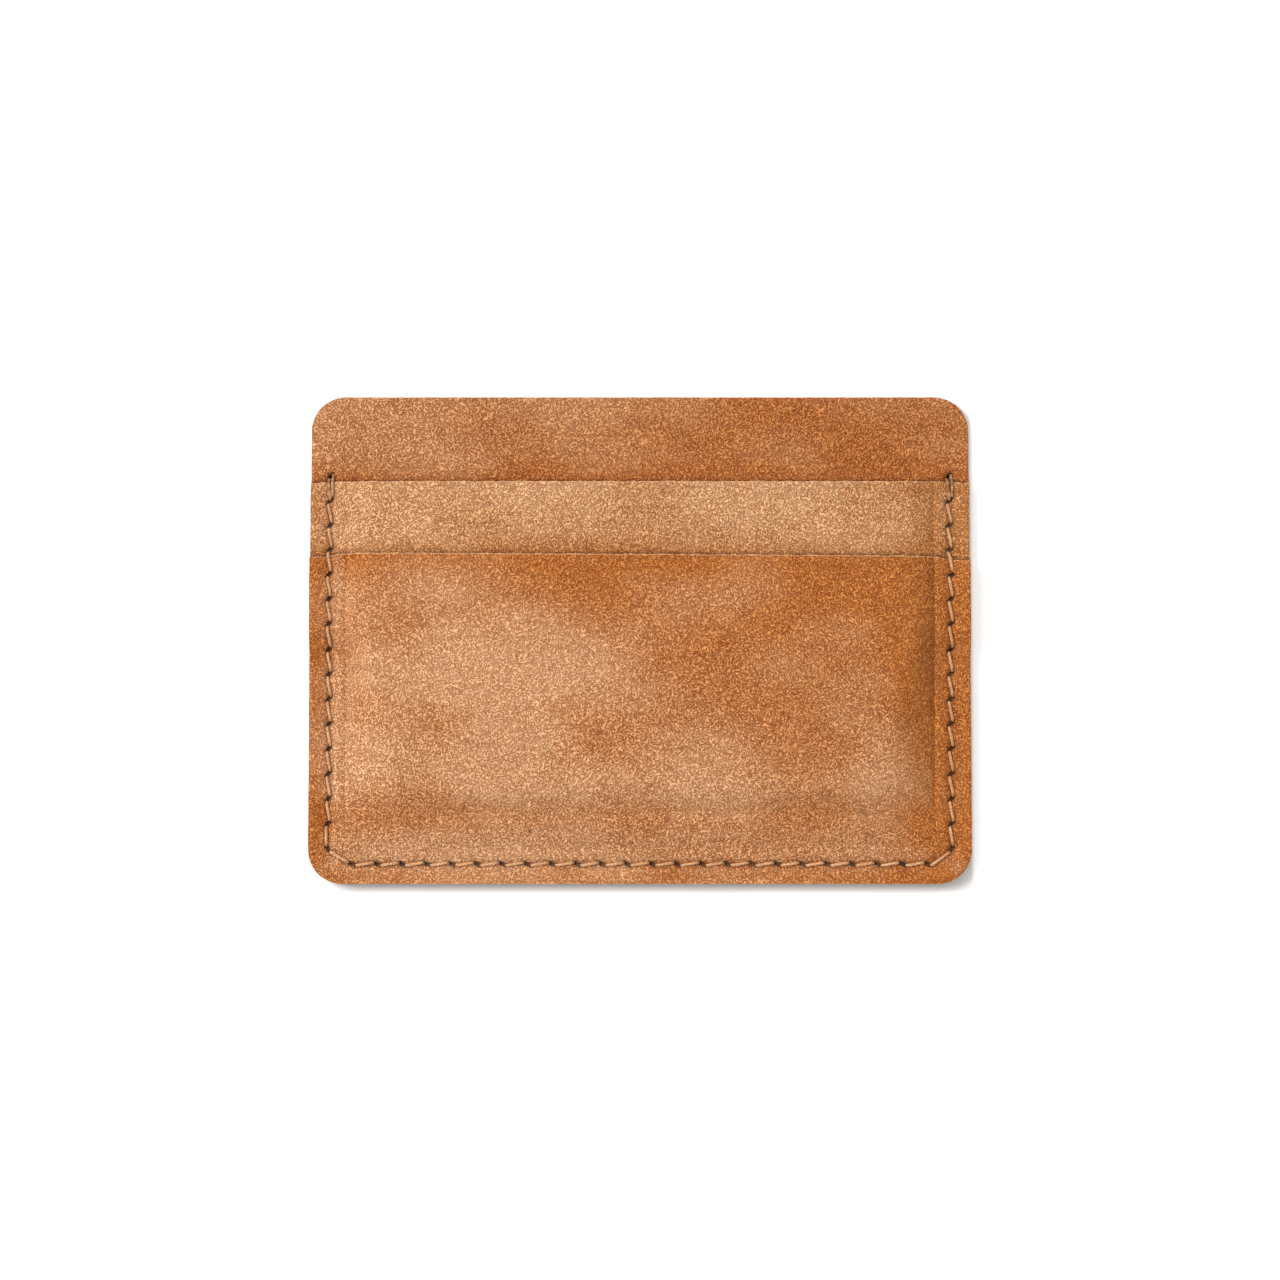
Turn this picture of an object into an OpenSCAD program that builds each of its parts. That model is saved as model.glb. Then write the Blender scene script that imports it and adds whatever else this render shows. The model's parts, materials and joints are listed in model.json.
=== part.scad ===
// Slim leather card holder with two card slots: a back panel, a T-shaped middle pocket
// and a front pocket, cemented along their margins and saddle-stitched round three sides.
// It lies on its back: +X to the right, +Y towards the pocket mouths, +Z out of the front.
// The origin is the middle of the outline, on the rear face.

/* [Outline] */
// Width of the holder
holder_w = 100; // [98:0.5:106]
// Height of the back panel
holder_h = 74; // [71:0.5:80]
// Radius of the outer corners
corner_r = 5.2; // [3:0.1:6]

/* [Leather] */
// Thickness of the back panel
back_t = 1.4; // [1.2:0.1:2]
// Thickness of the T pocket
t_pocket_t = 1.1; // [0.8:0.1:1.4]
// Thickness of the front pocket
front_t = 1.2; // [0.8:0.1:1.6]
// Width of the margin that is cemented and stitched
margin = 5.5; // [5.2:0.1:6]
// Thickness of the dried cement
glue_t = 0.1; // [0.05:0.01:0.15]
// Height that each card slot stands open
slot_gap = 0.9; // [0.8:0.05:1.2]

/* [T pocket] */
// Width of the stem where it leaves the ears
stem_top_w = 83.6; // [80:0.2:85]
// Width of the stem at its base
stem_base_w = 70; // [64:1:76]
// Height of the stem's base above the bottom edge
stem_base_y = 10.3; // [9.5:0.1:12]
// Height of the cemented strip at the stem's base
base_strip = 4.2; // [4:0.1:5]

/* [Stitching] */
// Distance between two stitch holes
stitch_pitch = 3.77; // [3.7:0.01:3.85]
// Distance of the seam from the outer edge
seam_inset = 3; // [2.8:0.05:3.1]
// Diameter of the waxed thread
thread_d = 0.55; // [0.45:0.01:0.58]
// Length of a stitch slit
slit_len = 2; // [1.9:0.05:2.1]
// Stitch holes up each side of the front pocket
front_holes = 12; // [10:1:13]
// Stitch holes up each side of the T pocket
t_holes = 15; // [15:1:16]
// Stitch holes that pass through each ear of the T pocket
ear_holes = 6; // [5:1:8]

/* [Hidden] */
$fn = 64;
far = holder_w;
half_w = holder_w / 2;
inner_x = half_w - margin;

// Heights of the faces that lie on each other
back_z = back_t;
ear_z = back_z + glue_t + t_pocket_t;
low_z = back_z + glue_t;
low_top_z = low_z + front_t;
over_ear_z = ear_z + glue_t;
over_ear_top_z = over_ear_z + front_t;
t_field_z = back_z + slot_gap;
front_field_z = t_field_z + t_pocket_t + slot_gap;

// Run-outs of the formed leather, from the level margin to the raised field
t_ramp = 2;
t_base_ramp = 2.5;
front_ramp = 3.9;
front_base_ramp = 6.5;
over_ear_ramp = 3;
ear_ramp = 2;

// Stitch grid: the mouths and the ears end between two holes
side_holes = t_holes + 1;
seam_x = half_w - seam_inset;
first_y = seam_inset + 2.3;
mouth_share = 0.75;
ear_share = 0.22;
front_mouth_y = first_y + (front_holes - 1 + mouth_share) * stitch_pitch;
t_mouth_y = first_y + (t_holes - 1 + mouth_share) * stitch_pitch;
ear_y = first_y + (t_holes - ear_holes - ear_share) * stitch_pitch;
ear_crest_y = ear_y - ear_ramp * (1 - (over_ear_z - low_z) / (front_field_z - low_z));
bottom_holes = 2 * floor((seam_x - 3.4) / stitch_pitch + 0.5);
base_holes = 2 * floor((stem_base_w / 2 - 2) / stitch_pitch + 0.5);
base_seam_y = stem_base_y + base_strip / 2;
base_top_y = stem_base_y + base_strip;

// Slits, thread and the groove that sinks the rear stitches
thread_r = thread_d / 2;
slit_w = thread_d + 0.08;
slant = 45;
reach = slit_len / 2 - thread_r - 0.05;
long_reach = 0.95;
groove_w = 2;
groove_t = thread_d + 0.07;
lift = thread_r + 0.015;
crest_gap = 0.15;
thread_sides = 8;
tail = 2.4;

leather_back = [0.70, 0.43, 0.24];
leather_mid = [0.79, 0.55, 0.34];
leather_front = [0.76, 0.51, 0.30];
cement = [0.85, 0.74, 0.50];
thread_colour = [0.83, 0.70, 0.52];

// A row of stitch holes, each [x, y, travel angle, reach of the slit's ends, face height]
function row(n, from, travel, face) = [for (i = [0 : n - 1])
    [from.x + i * stitch_pitch * cos(travel), from.y + i * stitch_pitch * sin(travel),
        travel, reach, face]];

// Height of the front face along a side seam
function side_face(y) = y > t_mouth_y ? back_z
    : y > front_mouth_y ? ear_z
    : y > ear_y ? over_ear_top_z
    : low_top_z;

// The same hole with the right face height, and with a longer slit where three passes share it
function side_hole(h, three) = [h.x, h.y, h[2], three ? long_reach : reach, side_face(h.y)];

top_hole_y = first_y + (side_holes - 1) * stitch_pitch;
left_row = row(side_holes, [-seam_x, top_hole_y], -90, back_z);
right_row = row(side_holes, [seam_x, first_y], 90, back_z);
bottom_row = row(bottom_holes, [-(bottom_holes - 1) / 2 * stitch_pitch, seam_inset], 0, low_top_z);
base_row = row(base_holes, [-(base_holes - 1) / 2 * stitch_pitch, base_seam_y], 0, ear_z);
seam_row = concat(
    [for (i = [0 : side_holes - 1]) side_hole(left_row[i], i == 1)],
    bottom_row,
    [for (i = [0 : side_holes - 1]) side_hole(right_row[i], i == side_holes - 2)]);

// Passes of the thread through the holes, each [hole, slit end]: 1 is the end that points
// along the travel, -1 the end behind and 0 the middle. One half of the thread is counted
// backwards from its tail to the start and the other half forwards, and each pass changes sides.
seam_last = len(seam_row) - 1;
seam_passes = concat(
    [[seam_last - 1, 0], [seam_last, -1]],
    [for (i = [seam_last - 1 : -1 : 2]) [i, i % 2 == 0 ? -1 : 1]],
    [[1, -1], [0, -1], [1, 0], [0, 1], [1, 1]],
    [for (i = [2 : seam_last - 1]) [i, i % 2 == 0 ? 1 : -1]],
    [[seam_last, 1]]);
base_last = base_holes - 1;
base_passes = concat(
    [for (i = [base_last : -1 : 1]) [i, i % 2 == 1 ? -1 : 1]],
    [[0, 0]],
    [for (i = [1 : base_last - 1]) [i, i % 2 == 1 ? 1 : -1]]);

// Edges that a stitch climbs over, each [y, height of the higher face]
edges = [[ear_crest_y - crest_gap, over_ear_top_z], [front_mouth_y + thread_r, over_ear_top_z],
    [t_mouth_y + thread_r, ear_z]];

// Where a pass crosses the leather, at height z
function pass_point(holes, pass, z) = let (h = holes[pass[0]], a = h[2] - slant)
    [h.x + pass[1] * h[3] * cos(a), h.y + pass[1] * h[3] * sin(a), z];
function top_point(holes, pass) = pass_point(holes, pass, holes[pass[0]][4] + lift);

// Points where the stitch from a to b bends over an edge
function over_edges(a, b) = [for (e = edges) if ((a.y - e[0]) * (b.y - e[0]) < 0)
    let (f = (e[0] - a.y) / (b.y - a.y)) [a.x + f * (b.x - a.x), e[0], e[1] + lift]];

// The thread's centre line: up at even passes, along the front, down at odd ones, along the rear
function thread_route(holes, passes) = concat(
    [for (j = [0 : len(passes) - 1]) each j % 2 == 0
        ? concat([pass_point(holes, passes[j], j == 0 ? groove_t + lift : lift)],
            [top_point(holes, passes[j])],
            over_edges(top_point(holes, passes[j]), top_point(holes, passes[j + 1])))
        : [top_point(holes, passes[j]), pass_point(holes, passes[j], lift)]],
    [let (p = passes[len(passes) - 1], h = holes[p[0]], way = h[2] + (p[1] > 0 ? 180 : 0))
        pass_point(holes, p, lift) + tail * [cos(way), sin(way), 0]]);

function unit(v) = v / norm(v);
// Carries the side vector u, square to a, round the bend from direction a to direction b
function carry(u, a, b) = u - (u * b) / (1 + a * b) * (a + b);

// A round tube along a route, with a mitred ring at every bend
module tube(route, r, sides) {
    n = len(route);
    way = [for (i = [0 : n - 2]) unit(route[i + 1] - route[i])];
    side = [for (i = 0, u = [1, 0, 0]; i < n - 1;
        u = i < n - 2 ? carry(u, way[i], way[i + 1]) : u, i = i + 1) u];
    points = [for (i = [0 : n - 1]) let (
            w = way[min(i, n - 2)],
            before = way[max(i - 1, 0)],
            u = side[min(i, n - 2)],
            v = cross(w, u),
            m = before + w)
        for (k = [0 : sides - 1]) let (a = (k + 0.5) * 360 / sides, e = r * (cos(a) * u + sin(a) * v))
            route[i] + e - w * (e * m) / (w * m)];
    walls = [for (i = [0 : n - 2], k = [0 : sides - 1]) let (j = (k + 1) % sides)
        [i * sides + j, i * sides + k, (i + 1) * sides + k, (i + 1) * sides + j]];
    start = [for (k = [0 : sides - 1]) k];
    end = [for (k = [sides - 1 : -1 : 0]) (n - 1) * sides + k];
    polyhedron(points, concat([start, end], walls));
}

// Everything is drawn from the bottom edge and then centred on the outline
module centred() {
    translate([0, -holder_h / 2, 0]) children();
}

module holder_outline() {
    translate([-half_w + corner_r, 0]) square([holder_w - 2 * corner_r, holder_h]);
    translate([-half_w, corner_r]) square([holder_w, holder_h - 2 * corner_r]);
    for (x = [-half_w + corner_r, half_w - corner_r], y = [corner_r, holder_h - corner_r])
        translate([x, y]) circle(corner_r);
}

module front_outline() {
    intersection() {
        holder_outline();
        translate([-half_w, 0]) square([holder_w, front_mouth_y]);
    }
}

module t_outline() {
    polygon([[-half_w, ear_y], [-stem_top_w / 2, ear_y], [-stem_base_w / 2, stem_base_y],
        [stem_base_w / 2, stem_base_y], [stem_top_w / 2, ear_y], [half_w, ear_y],
        [half_w, t_mouth_y], [-half_w, t_mouth_y]]);
}

// All that lies below a formed sheet, which runs level at low outside the foot and climbs
// over its ramps to high: ramp from the sides, and y_ramp from y_foot upwards
module below_field(low, high, ramp, y_foot, y_ramp) {
    side_profile = [[-far, -1], [-far, low], [-inner_x, low], [ramp - inner_x, high],
        [inner_x - ramp, high], [inner_x, low], [far, low], [far, -1]];
    end_profile = [[-far, -1], [-far, low], [y_foot, low], [y_foot + y_ramp, high], [far, high], [far, -1]];
    intersection() {
        translate([0, far, 0]) rotate([90, 0, 0]) linear_extrude(2 * far) polygon(side_profile);
        translate([-far, 0, 0]) rotate([90, 0, 90]) linear_extrude(2 * far) polygon(end_profile);
    }
}

module below_t(z) {
    below_field(low_z + z, t_field_z + z, t_ramp, base_top_y, t_base_ramp);
}

// The front pocket lies low along the bottom and sides, and climbs over the ears
module below_front(z) {
    below_field(low_z + z, front_field_z + z, front_ramp, margin, front_base_ramp);
    intersection() {
        below_field(over_ear_z + z, front_field_z + z, over_ear_ramp, 0, ear_ramp);
        translate([-far, 0, 0]) rotate([90, 0, 90]) linear_extrude(2 * far)
            polygon([[-far, -1], [-far, low_z + z], [ear_y - ear_ramp, low_z + z],
                [ear_y, front_field_z + z], [far, front_field_z + z], [far, -1]]);
    }
}

// Slanted slits for a row of holes
module slits(holes) {
    for (h = holes)
        translate([h.x, h.y, -1]) rotate(h[2] - slant)
            translate([-h[3] - thread_r - 0.05, -slit_w / 2, 0])
                cube([2 * (h[3] + thread_r + 0.05), slit_w, front_field_z + front_t + 2]);
}

// A groove in the rear face along straight stretches between corners
module groove(corners) {
    translate([0, 0, -1]) linear_extrude(groove_t + 1)
        for (i = [0 : len(corners) - 2]) {
            run = corners[i + 1] - corners[i];
            translate(corners[i]) rotate(atan2(run.y, run.x)) translate([-groove_w / 2, -groove_w / 2])
                square([norm(run) + groove_w, groove_w]);
        }
}

module back_panel() {
    seam_corners = [[-seam_x, top_hole_y], [-seam_x, first_y], [bottom_row[0].x, seam_inset],
        [-bottom_row[0].x, seam_inset], [seam_x, first_y], [seam_x, top_hole_y]];
    base_corners = [[base_row[0].x, base_seam_y], [-base_row[0].x, base_seam_y]];
    color(leather_back) centred() difference() {
        linear_extrude(back_t) holder_outline();
        slits(seam_row);
        slits(base_row);
        groove(seam_corners);
        groove(base_corners);
    }
}

module t_pocket() {
    color(leather_mid) centred() difference() {
        intersection() {
            linear_extrude(far) t_outline();
            below_t(t_pocket_t);
        }
        below_t(0);
        slits([for (h = seam_row) if (h.y > ear_y && h.y < t_mouth_y) h]);
        slits(base_row);
    }
}

module front_pocket() {
    color(leather_front) centred() difference() {
        intersection() {
            linear_extrude(far) front_outline();
            below_front(front_t);
        }
        below_front(0);
        slits([for (h = seam_row) if (h.y < front_mouth_y) h]);
    }
}

// Cement between the ears of the T pocket and the back panel
module ear_glue() {
    ear_h = t_mouth_y - ear_y;
    color(cement) centred() difference() {
        for (x = [-half_w, inner_x])
            translate([x, ear_y, back_z]) cube([margin, ear_h, glue_t]);
        slits([for (h = seam_row) if (h.y > ear_y && h.y < t_mouth_y) h]);
    }
}

// Cement between the base of the stem and the back panel
module base_glue() {
    color(cement) centred() difference() {
        translate([0, 0, back_z]) linear_extrude(glue_t) intersection() {
            t_outline();
            translate([-half_w, 0]) square([holder_w, base_top_y]);
        }
        slits(base_row);
    }
}

// Cement between the front pocket's margins and what lies behind them
module front_glue() {
    color(cement) centred() difference() {
        intersection() {
            linear_extrude(far) difference() {
                front_outline();
                translate([-inner_x, margin]) square([2 * inner_x, holder_h]);
            }
            below_front(0);
        }
        below_front(-glue_t);
        slits([for (h = seam_row) if (h.y < front_mouth_y) h]);
    }
}

module seam_thread() {
    color(thread_colour) centred() tube(thread_route(seam_row, seam_passes), thread_r, thread_sides);
}

module base_thread() {
    color(thread_colour) centred() tube(thread_route(base_row, base_passes), thread_r, thread_sides);
}

back_panel();
t_pocket();
front_pocket();
ear_glue();
base_glue();
front_glue();
seam_thread();
base_thread();
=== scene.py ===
"""A slim leather card holder: three cut panels, cemented and saddle-stitched round three sides.

Every piece is modelled in millimetres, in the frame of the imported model, and is brought to
metres when it is done. X runs to the right, Y towards the pocket mouths, Z out of the front.
"""

import json
import logging
import math
from dataclasses import dataclass, field, replace
from enum import Enum
from typing import Callable, Iterable, Iterator

import bmesh
import bpy
import numpy as np
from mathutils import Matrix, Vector
from mathutils.kdtree import KDTree


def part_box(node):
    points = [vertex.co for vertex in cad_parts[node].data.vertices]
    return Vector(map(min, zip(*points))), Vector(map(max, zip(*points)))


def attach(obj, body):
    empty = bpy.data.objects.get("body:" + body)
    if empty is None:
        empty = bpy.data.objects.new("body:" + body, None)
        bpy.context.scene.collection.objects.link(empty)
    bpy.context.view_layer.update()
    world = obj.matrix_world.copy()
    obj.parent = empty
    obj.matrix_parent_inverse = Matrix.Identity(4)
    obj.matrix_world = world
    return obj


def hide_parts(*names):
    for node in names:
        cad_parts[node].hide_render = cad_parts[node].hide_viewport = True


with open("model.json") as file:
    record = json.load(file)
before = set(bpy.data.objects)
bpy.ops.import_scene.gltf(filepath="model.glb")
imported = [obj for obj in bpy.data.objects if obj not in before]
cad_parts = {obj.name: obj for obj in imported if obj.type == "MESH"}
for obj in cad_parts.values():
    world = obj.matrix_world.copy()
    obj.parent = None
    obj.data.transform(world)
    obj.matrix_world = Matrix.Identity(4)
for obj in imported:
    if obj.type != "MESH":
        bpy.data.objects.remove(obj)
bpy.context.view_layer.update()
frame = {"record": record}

log = logging.getLogger("card_holder")
Grid = np.ndarray
Point = tuple[float, float]
Place = tuple[float, float, float]
Colour = tuple[float, float, float, float]

MM = 0.001
BODY = "root"
SEED = 7
MARKS = ("raw_edge", "seam", "wear_and_painted_shade", "slit")

# The painted shadow line along each pocket's mouth: its offset, width and darkness.
GAP_OFFSET = 0.2
GAP_WIDTH = 0.28
GAP_DARK = 0.55


class SlitEnd(Enum):
    """Which part of a slit a pass of the thread goes through."""

    AHEAD = 1
    MIDDLE = 0
    BEHIND = -1


class Ramp(Enum):
    """How a formed sheet leaves one level for another."""

    STEEP_START = "steep start"
    SMOOTH = "smooth"

    def rise(self, t: Grid) -> Grid:
        """Share of the climb done at t.

        Args:
            t: position along the ramp, 0 at its foot and 1 at its crest.

        Returns:
            The height, from 0 to 1.
        """
        t = np.clip(t, 0, 1)
        if self is Ramp.STEEP_START:
            return np.sin(t * math.pi / 2)
        return t * t * (3 - 2 * t)


# ---------------------------------------------------------------- sizes


@dataclass(frozen=True)
class Plan:
    """Where the holder's edges, mouths and faces lie, in millimetres, as the frame has them."""

    half_w: float
    bottom: float
    top: float
    front_mouth: float
    t_mouth: float
    ear_y: float
    stem_y: float
    strip_y: float
    back_t: float
    low_z: float
    field_top: float
    corner_r: float = 5.2
    margin: float = 5.5
    t_pocket_t: float = 1.1
    front_t: float = 1.2
    stem_half_base: float = 35.0
    stem_half_top: float = 41.8
    seam_inset: float = 3.0
    first_rise: float = 2.3
    pitch: float = 3.77

    @classmethod
    def from_frame(cls) -> "Plan":
        """Reads the plan from the boxes of the CAD nodes.

        Returns:
            The plan in millimetres.
        """
        back_low, back_high = (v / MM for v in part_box("back_panel"))
        ear_low, ear_high = (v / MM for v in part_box("ear_glue"))
        strip_low, strip_high = (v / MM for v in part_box("base_glue"))
        front_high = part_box("front_pocket")[1] / MM
        return cls(half_w=back_high.x, bottom=back_low.y, top=back_high.y,
                   front_mouth=front_high.y, t_mouth=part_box("t_pocket")[1].y / MM,
                   ear_y=ear_low.y, stem_y=strip_low.y, strip_y=strip_high.y,
                   back_t=back_high.z, low_z=ear_high.z, field_top=front_high.z)

    @property
    def inner_x(self) -> float:
        """Distance of the cemented margin's inner edge from the middle."""
        return self.half_w - self.margin

    @property
    def glue_t(self) -> float:
        """Thickness of a cement film."""
        return self.low_z - self.back_t

    @property
    def ear_z(self) -> float:
        """Height of the T pocket's face on its cemented ears."""
        return self.low_z + self.t_pocket_t

    @property
    def over_ear_z(self) -> float:
        """Height of the front pocket's underside over the ears."""
        return self.ear_z + self.glue_t

    @property
    def slot_gap(self) -> float:
        """Height that each card slot stands open."""
        return (self.field_top - self.back_t - self.t_pocket_t - self.front_t) / 2

    @property
    def t_field(self) -> float:
        """Height of the T pocket's underside in the middle."""
        return self.back_t + self.slot_gap

    @property
    def front_field(self) -> float:
        """Height of the front pocket's underside in the middle."""
        return self.field_top - self.front_t

    @property
    def seam_x(self) -> float:
        """Distance of the side seams from the middle."""
        return self.half_w - self.seam_inset

    @property
    def seam_y(self) -> float:
        """Height of the bottom seam."""
        return self.bottom + self.seam_inset


@dataclass(frozen=True)
class Hole:
    """One slanted stitch slit."""

    x: float
    y: float
    travel: float
    tilt: float
    reach: float

    @property
    def slant(self) -> float:
        """Direction of the slit in radians, from its rear end to the end that lies ahead."""
        return math.radians(self.tilt)

    def end(self, which: SlitEnd) -> Point:
        """Where a pass of the thread goes through the slit."""
        share = which.value * self.reach
        return self.x + share * math.cos(self.slant), self.y + share * math.sin(self.slant)


def run_distance(x: Grid, y: Grid, a: Point, b: Point) -> Grid:
    """Distance from the straight run between two points.

    Args:
        x: positions across.
        y: positions up.
        a: where the run starts.
        b: where it ends.

    Returns:
        The distances, in millimetres.
    """
    run = np.array([b[0] - a[0], b[1] - a[1]])
    t = np.clip(((x - a[0]) * run[0] + (y - a[1]) * run[1]) / (run @ run), 0, 1)
    return np.hypot(x - a[0] - t * run[0], y - a[1] - t * run[1])


@dataclass(frozen=True)
class StitchRow:
    """A saddle-stitched row of holes, and the order in which the thread passes through them."""

    holes: list[Hole]
    passes: list[tuple[int, SlitEnd]]

    def distance(self, x: Grid, y: Grid) -> Grid:
        """Distance from the seam's centre line.

        Args:
            x: positions across.
            y: positions up.

        Returns:
            The distances, in millimetres.
        """
        best = np.full(np.shape(x), 1e9)
        for a, b in zip(self.holes, self.holes[1:]):
            best = np.minimum(best, run_distance(x, y, (a.x, a.y), (b.x, b.y)))
        return best


@dataclass(frozen=True)
class RowStyle:
    """How the slits of one row were struck."""

    travel: float
    tilt: float
    reach: float


DOWN_LEFT = RowStyle(-90, -128, 0.5)
ALONG_FOOT = RowStyle(0, -25, 0.56)
UP_RIGHT = RowStyle(90, 48, 0.5)
STEEP_CORNER = 60
LONG_REACH = 0.6
MOUTH_SHARE = 0.25
CORNER_ROOM = 3.4
STEM_ROOM = 2


def straight_row(count: int, start: Point, pitch: float, style: RowStyle) -> list[Hole]:
    """Evenly spaced holes along a line.

    Args:
        count: number of holes.
        start: the first hole.
        pitch: distance between two holes.
        style: the row's direction and the lie of its slits.

    Returns:
        The holes in order.
    """
    c, s = math.cos(math.radians(style.travel)), math.sin(math.radians(style.travel))
    return [Hole(start[0] + i * pitch * c, start[1] + i * pitch * s, style.travel, style.tilt, style.reach)
            for i in range(count)]


def perimeter_row(plan: Plan) -> StitchRow:
    """The seam down the left side, along the bottom and up the right side.

    One half of the thread is counted backwards from its tail to the start and the other half
    forwards. Each pass changes sides, and the first and last stitch are doubled.

    Args:
        plan: the holder's plan.

    Returns:
        The row.
    """
    first_y = plan.seam_y + plan.first_rise
    side = round((plan.t_mouth - first_y) / plan.pitch + MOUTH_SHARE) + 1
    top_y = first_y + (side - 1) * plan.pitch
    along = 2 * math.floor((plan.seam_x - CORNER_ROOM) / plan.pitch + 0.5)
    left = straight_row(side, (-plan.seam_x, top_y), plan.pitch, DOWN_LEFT)
    right = straight_row(side, (plan.seam_x, first_y), plan.pitch, UP_RIGHT)
    bottom = straight_row(along, (-(along - 1) / 2 * plan.pitch, plan.seam_y), plan.pitch, ALONG_FOOT)
    left[1] = replace(left[1], reach=LONG_REACH)
    right[-2] = replace(right[-2], reach=LONG_REACH)
    left[-1] = replace(left[-1], tilt=-STEEP_CORNER)
    right[0] = replace(right[0], tilt=STEEP_CORNER)
    holes = left + bottom + right
    last = len(holes) - 1
    ahead, middle, behind = SlitEnd.AHEAD, SlitEnd.MIDDLE, SlitEnd.BEHIND
    passes = [(last - 1, middle), (last, behind)]
    passes += [(i, behind if i % 2 == 0 else ahead) for i in range(last - 1, 1, -1)]
    passes += [(1, ahead), (0, behind), (1, behind), (0, ahead), (1, middle)]
    passes += [(i, ahead if i % 2 == 0 else behind) for i in range(2, last)]
    passes += [(last, ahead)]
    return StitchRow(holes, passes)


def stem_row(plan: Plan) -> StitchRow:
    """The row that closes the base of the T pocket's stem.

    Args:
        plan: the holder's plan.

    Returns:
        The row.
    """
    count = 2 * math.floor((plan.stem_half_base - STEM_ROOM) / plan.pitch + 0.5)
    y = (plan.stem_y + plan.strip_y) / 2
    holes = straight_row(count, (-(count - 1) / 2 * plan.pitch, y), plan.pitch, ALONG_FOOT)
    last = count - 1
    ahead, behind = SlitEnd.AHEAD, SlitEnd.BEHIND
    passes = [(i, behind if i % 2 == 1 else ahead) for i in range(last, 0, -1)]
    passes += [(0, SlitEnd.MIDDLE)]
    passes += [(i, ahead if i % 2 == 1 else behind) for i in range(1, last)]
    return StitchRow(holes, passes)


# ---------------------------------------------------------------- the lie of the leather


@dataclass(frozen=True)
class Lie:
    """Heights of the formed leather over the whole holder, in millimetres."""

    plan: Plan
    seam: StitchRow
    stem: StitchRow
    furrow: float = 0.46
    outer_flare: float = 0.1
    dimple: float = 0.24
    crown: float = 0.16
    crease_depth: float = 0.16
    crease_half: float = 0.32
    base_share: float = 0.42
    t_side_run: float = 4.2
    t_base_run: float = 3.5
    ear_climb: float = 4.5
    corner_near: float = 3.4
    corner_reach: float = 3.6
    press_depth: float = 0.12
    press_half: float = 0.36
    print_dark: float = 0.45
    print_half: float = 0.42
    hole_room: float = 2.2
    stitch_room: float = 3.4
    slit_past: float = 0.2
    slit_across: float = 0.34

    def ripple(self, x: Grid, y: Grid, phase: float) -> Grid:
        """Slow unevenness of hand-cut leather, a few hundredths high."""
        return (0.035 * np.sin(x * 0.21 + phase) * np.cos(y * 0.17 - phase)
                + 0.02 * np.sin(x * 0.53 + y * 0.31 + 2 * phase))

    def crest(self, x: Grid) -> Grid:
        """The slight crown across the middle."""
        return self.crown * np.cos(np.clip(x / self.plan.inner_x, -1, 1) * math.pi / 2)

    def crease(self, x: Grid) -> Grid:
        """The sharp fold where the cemented side margins end."""
        return -self.crease_depth * np.exp(-((np.abs(x) - self.plan.inner_x) / self.crease_half) ** 2)

    def t_under(self, x: Grid, y: Grid) -> Grid:
        """Underside of the T pocket.

        Args:
            x: positions across.
            y: positions up.

        Returns:
            Heights, in millimetres.
        """
        p = self.plan
        sides = Ramp.STEEP_START.rise((p.inner_x - np.abs(x)) / self.t_side_run)
        base = Ramp.SMOOTH.rise((y - p.strip_y) / self.t_base_run)
        return p.low_z + (p.t_field - p.low_z + self.crest(x)) * sides * base

    def stem_half(self, y: Grid) -> Grid:
        """Half the width of what holds the front pocket up at height y.

        Args:
            y: positions up.

        Returns:
            Half widths, in millimetres.
        """
        p = self.plan
        t = (y - p.stem_y) / (p.ear_y - p.stem_y)
        stem = p.stem_half_base + (p.stem_half_top - p.stem_half_base) * np.clip(t, 0, 1)
        spread = Ramp.SMOOTH.rise((y - p.ear_y + 9) / 18)
        return stem + (p.inner_x - 3.4 - stem) * spread

    def front_level(self, y: Grid) -> Grid:
        """Height of the front pocket's cemented underside: it climbs over the ears.

        Args:
            y: positions up.

        Returns:
            Heights, in millimetres.
        """
        p = self.plan
        climb = Ramp.SMOOTH.rise((y - p.ear_y + self.ear_climb) / self.ear_climb)
        return p.low_z + (p.over_ear_z - p.low_z) * climb

    def front_under(self, x: Grid, y: Grid) -> Grid:
        """Underside of the front pocket: low on the margins, up over the ears and the stem.

        Args:
            x: positions across.
            y: positions up.

        Returns:
            Heights, in millimetres.
        """
        p = self.plan
        level = self.front_level(y)
        foot_y = p.bottom + p.margin
        sides = Ramp.STEEP_START.rise((p.inner_x - np.abs(x)) / (p.inner_x - self.stem_half(y) + 1.2))
        low_part = self.base_share * Ramp.STEEP_START.rise((y - foot_y) / (p.stem_y - foot_y))
        high_part = (1 - self.base_share) * Ramp.SMOOTH.rise((y - p.stem_y + 0.3) / 4.6)
        return level + (p.front_field - level + self.crest(x)) * sides * (low_part + high_part)

    def seam_relief(self, x: Grid, y: Grid) -> Grid:
        """How far the face is drawn down by the perimeter seam.

        Args:
            x: positions across.
            y: positions up.

        Returns:
            Heights to add, in millimetres.
        """
        p = self.plan
        d = self.seam.distance(x, y)
        outside = (np.abs(x) > p.seam_x) | (y < p.seam_y)
        corner = (np.abs(x) > p.seam_x - self.corner_near) & (y < p.seam_y + p.first_rise)
        slope = ((np.abs(x) - p.seam_x + self.corner_reach) / self.corner_reach
                 + (p.seam_y + p.first_rise - y) / p.first_rise)
        outside |= corner & (slope > 1)
        out = -self.furrow + (self.furrow + self.outer_flare) * np.clip(d / p.seam_inset, 0, 1) ** 0.9
        inn = -self.furrow * (1 - Ramp.STEEP_START.rise(d / (p.margin - p.seam_inset)))
        fade = 1 - Ramp.SMOOTH.rise((y - self.seam.holes[0].y) / 2.2)
        press = -self.press_depth * np.exp(-(self.stitch_distance(x, y) / self.press_half) ** 2)
        return np.where(outside, out, inn) * fade + self.dimples(x, y) + press

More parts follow.
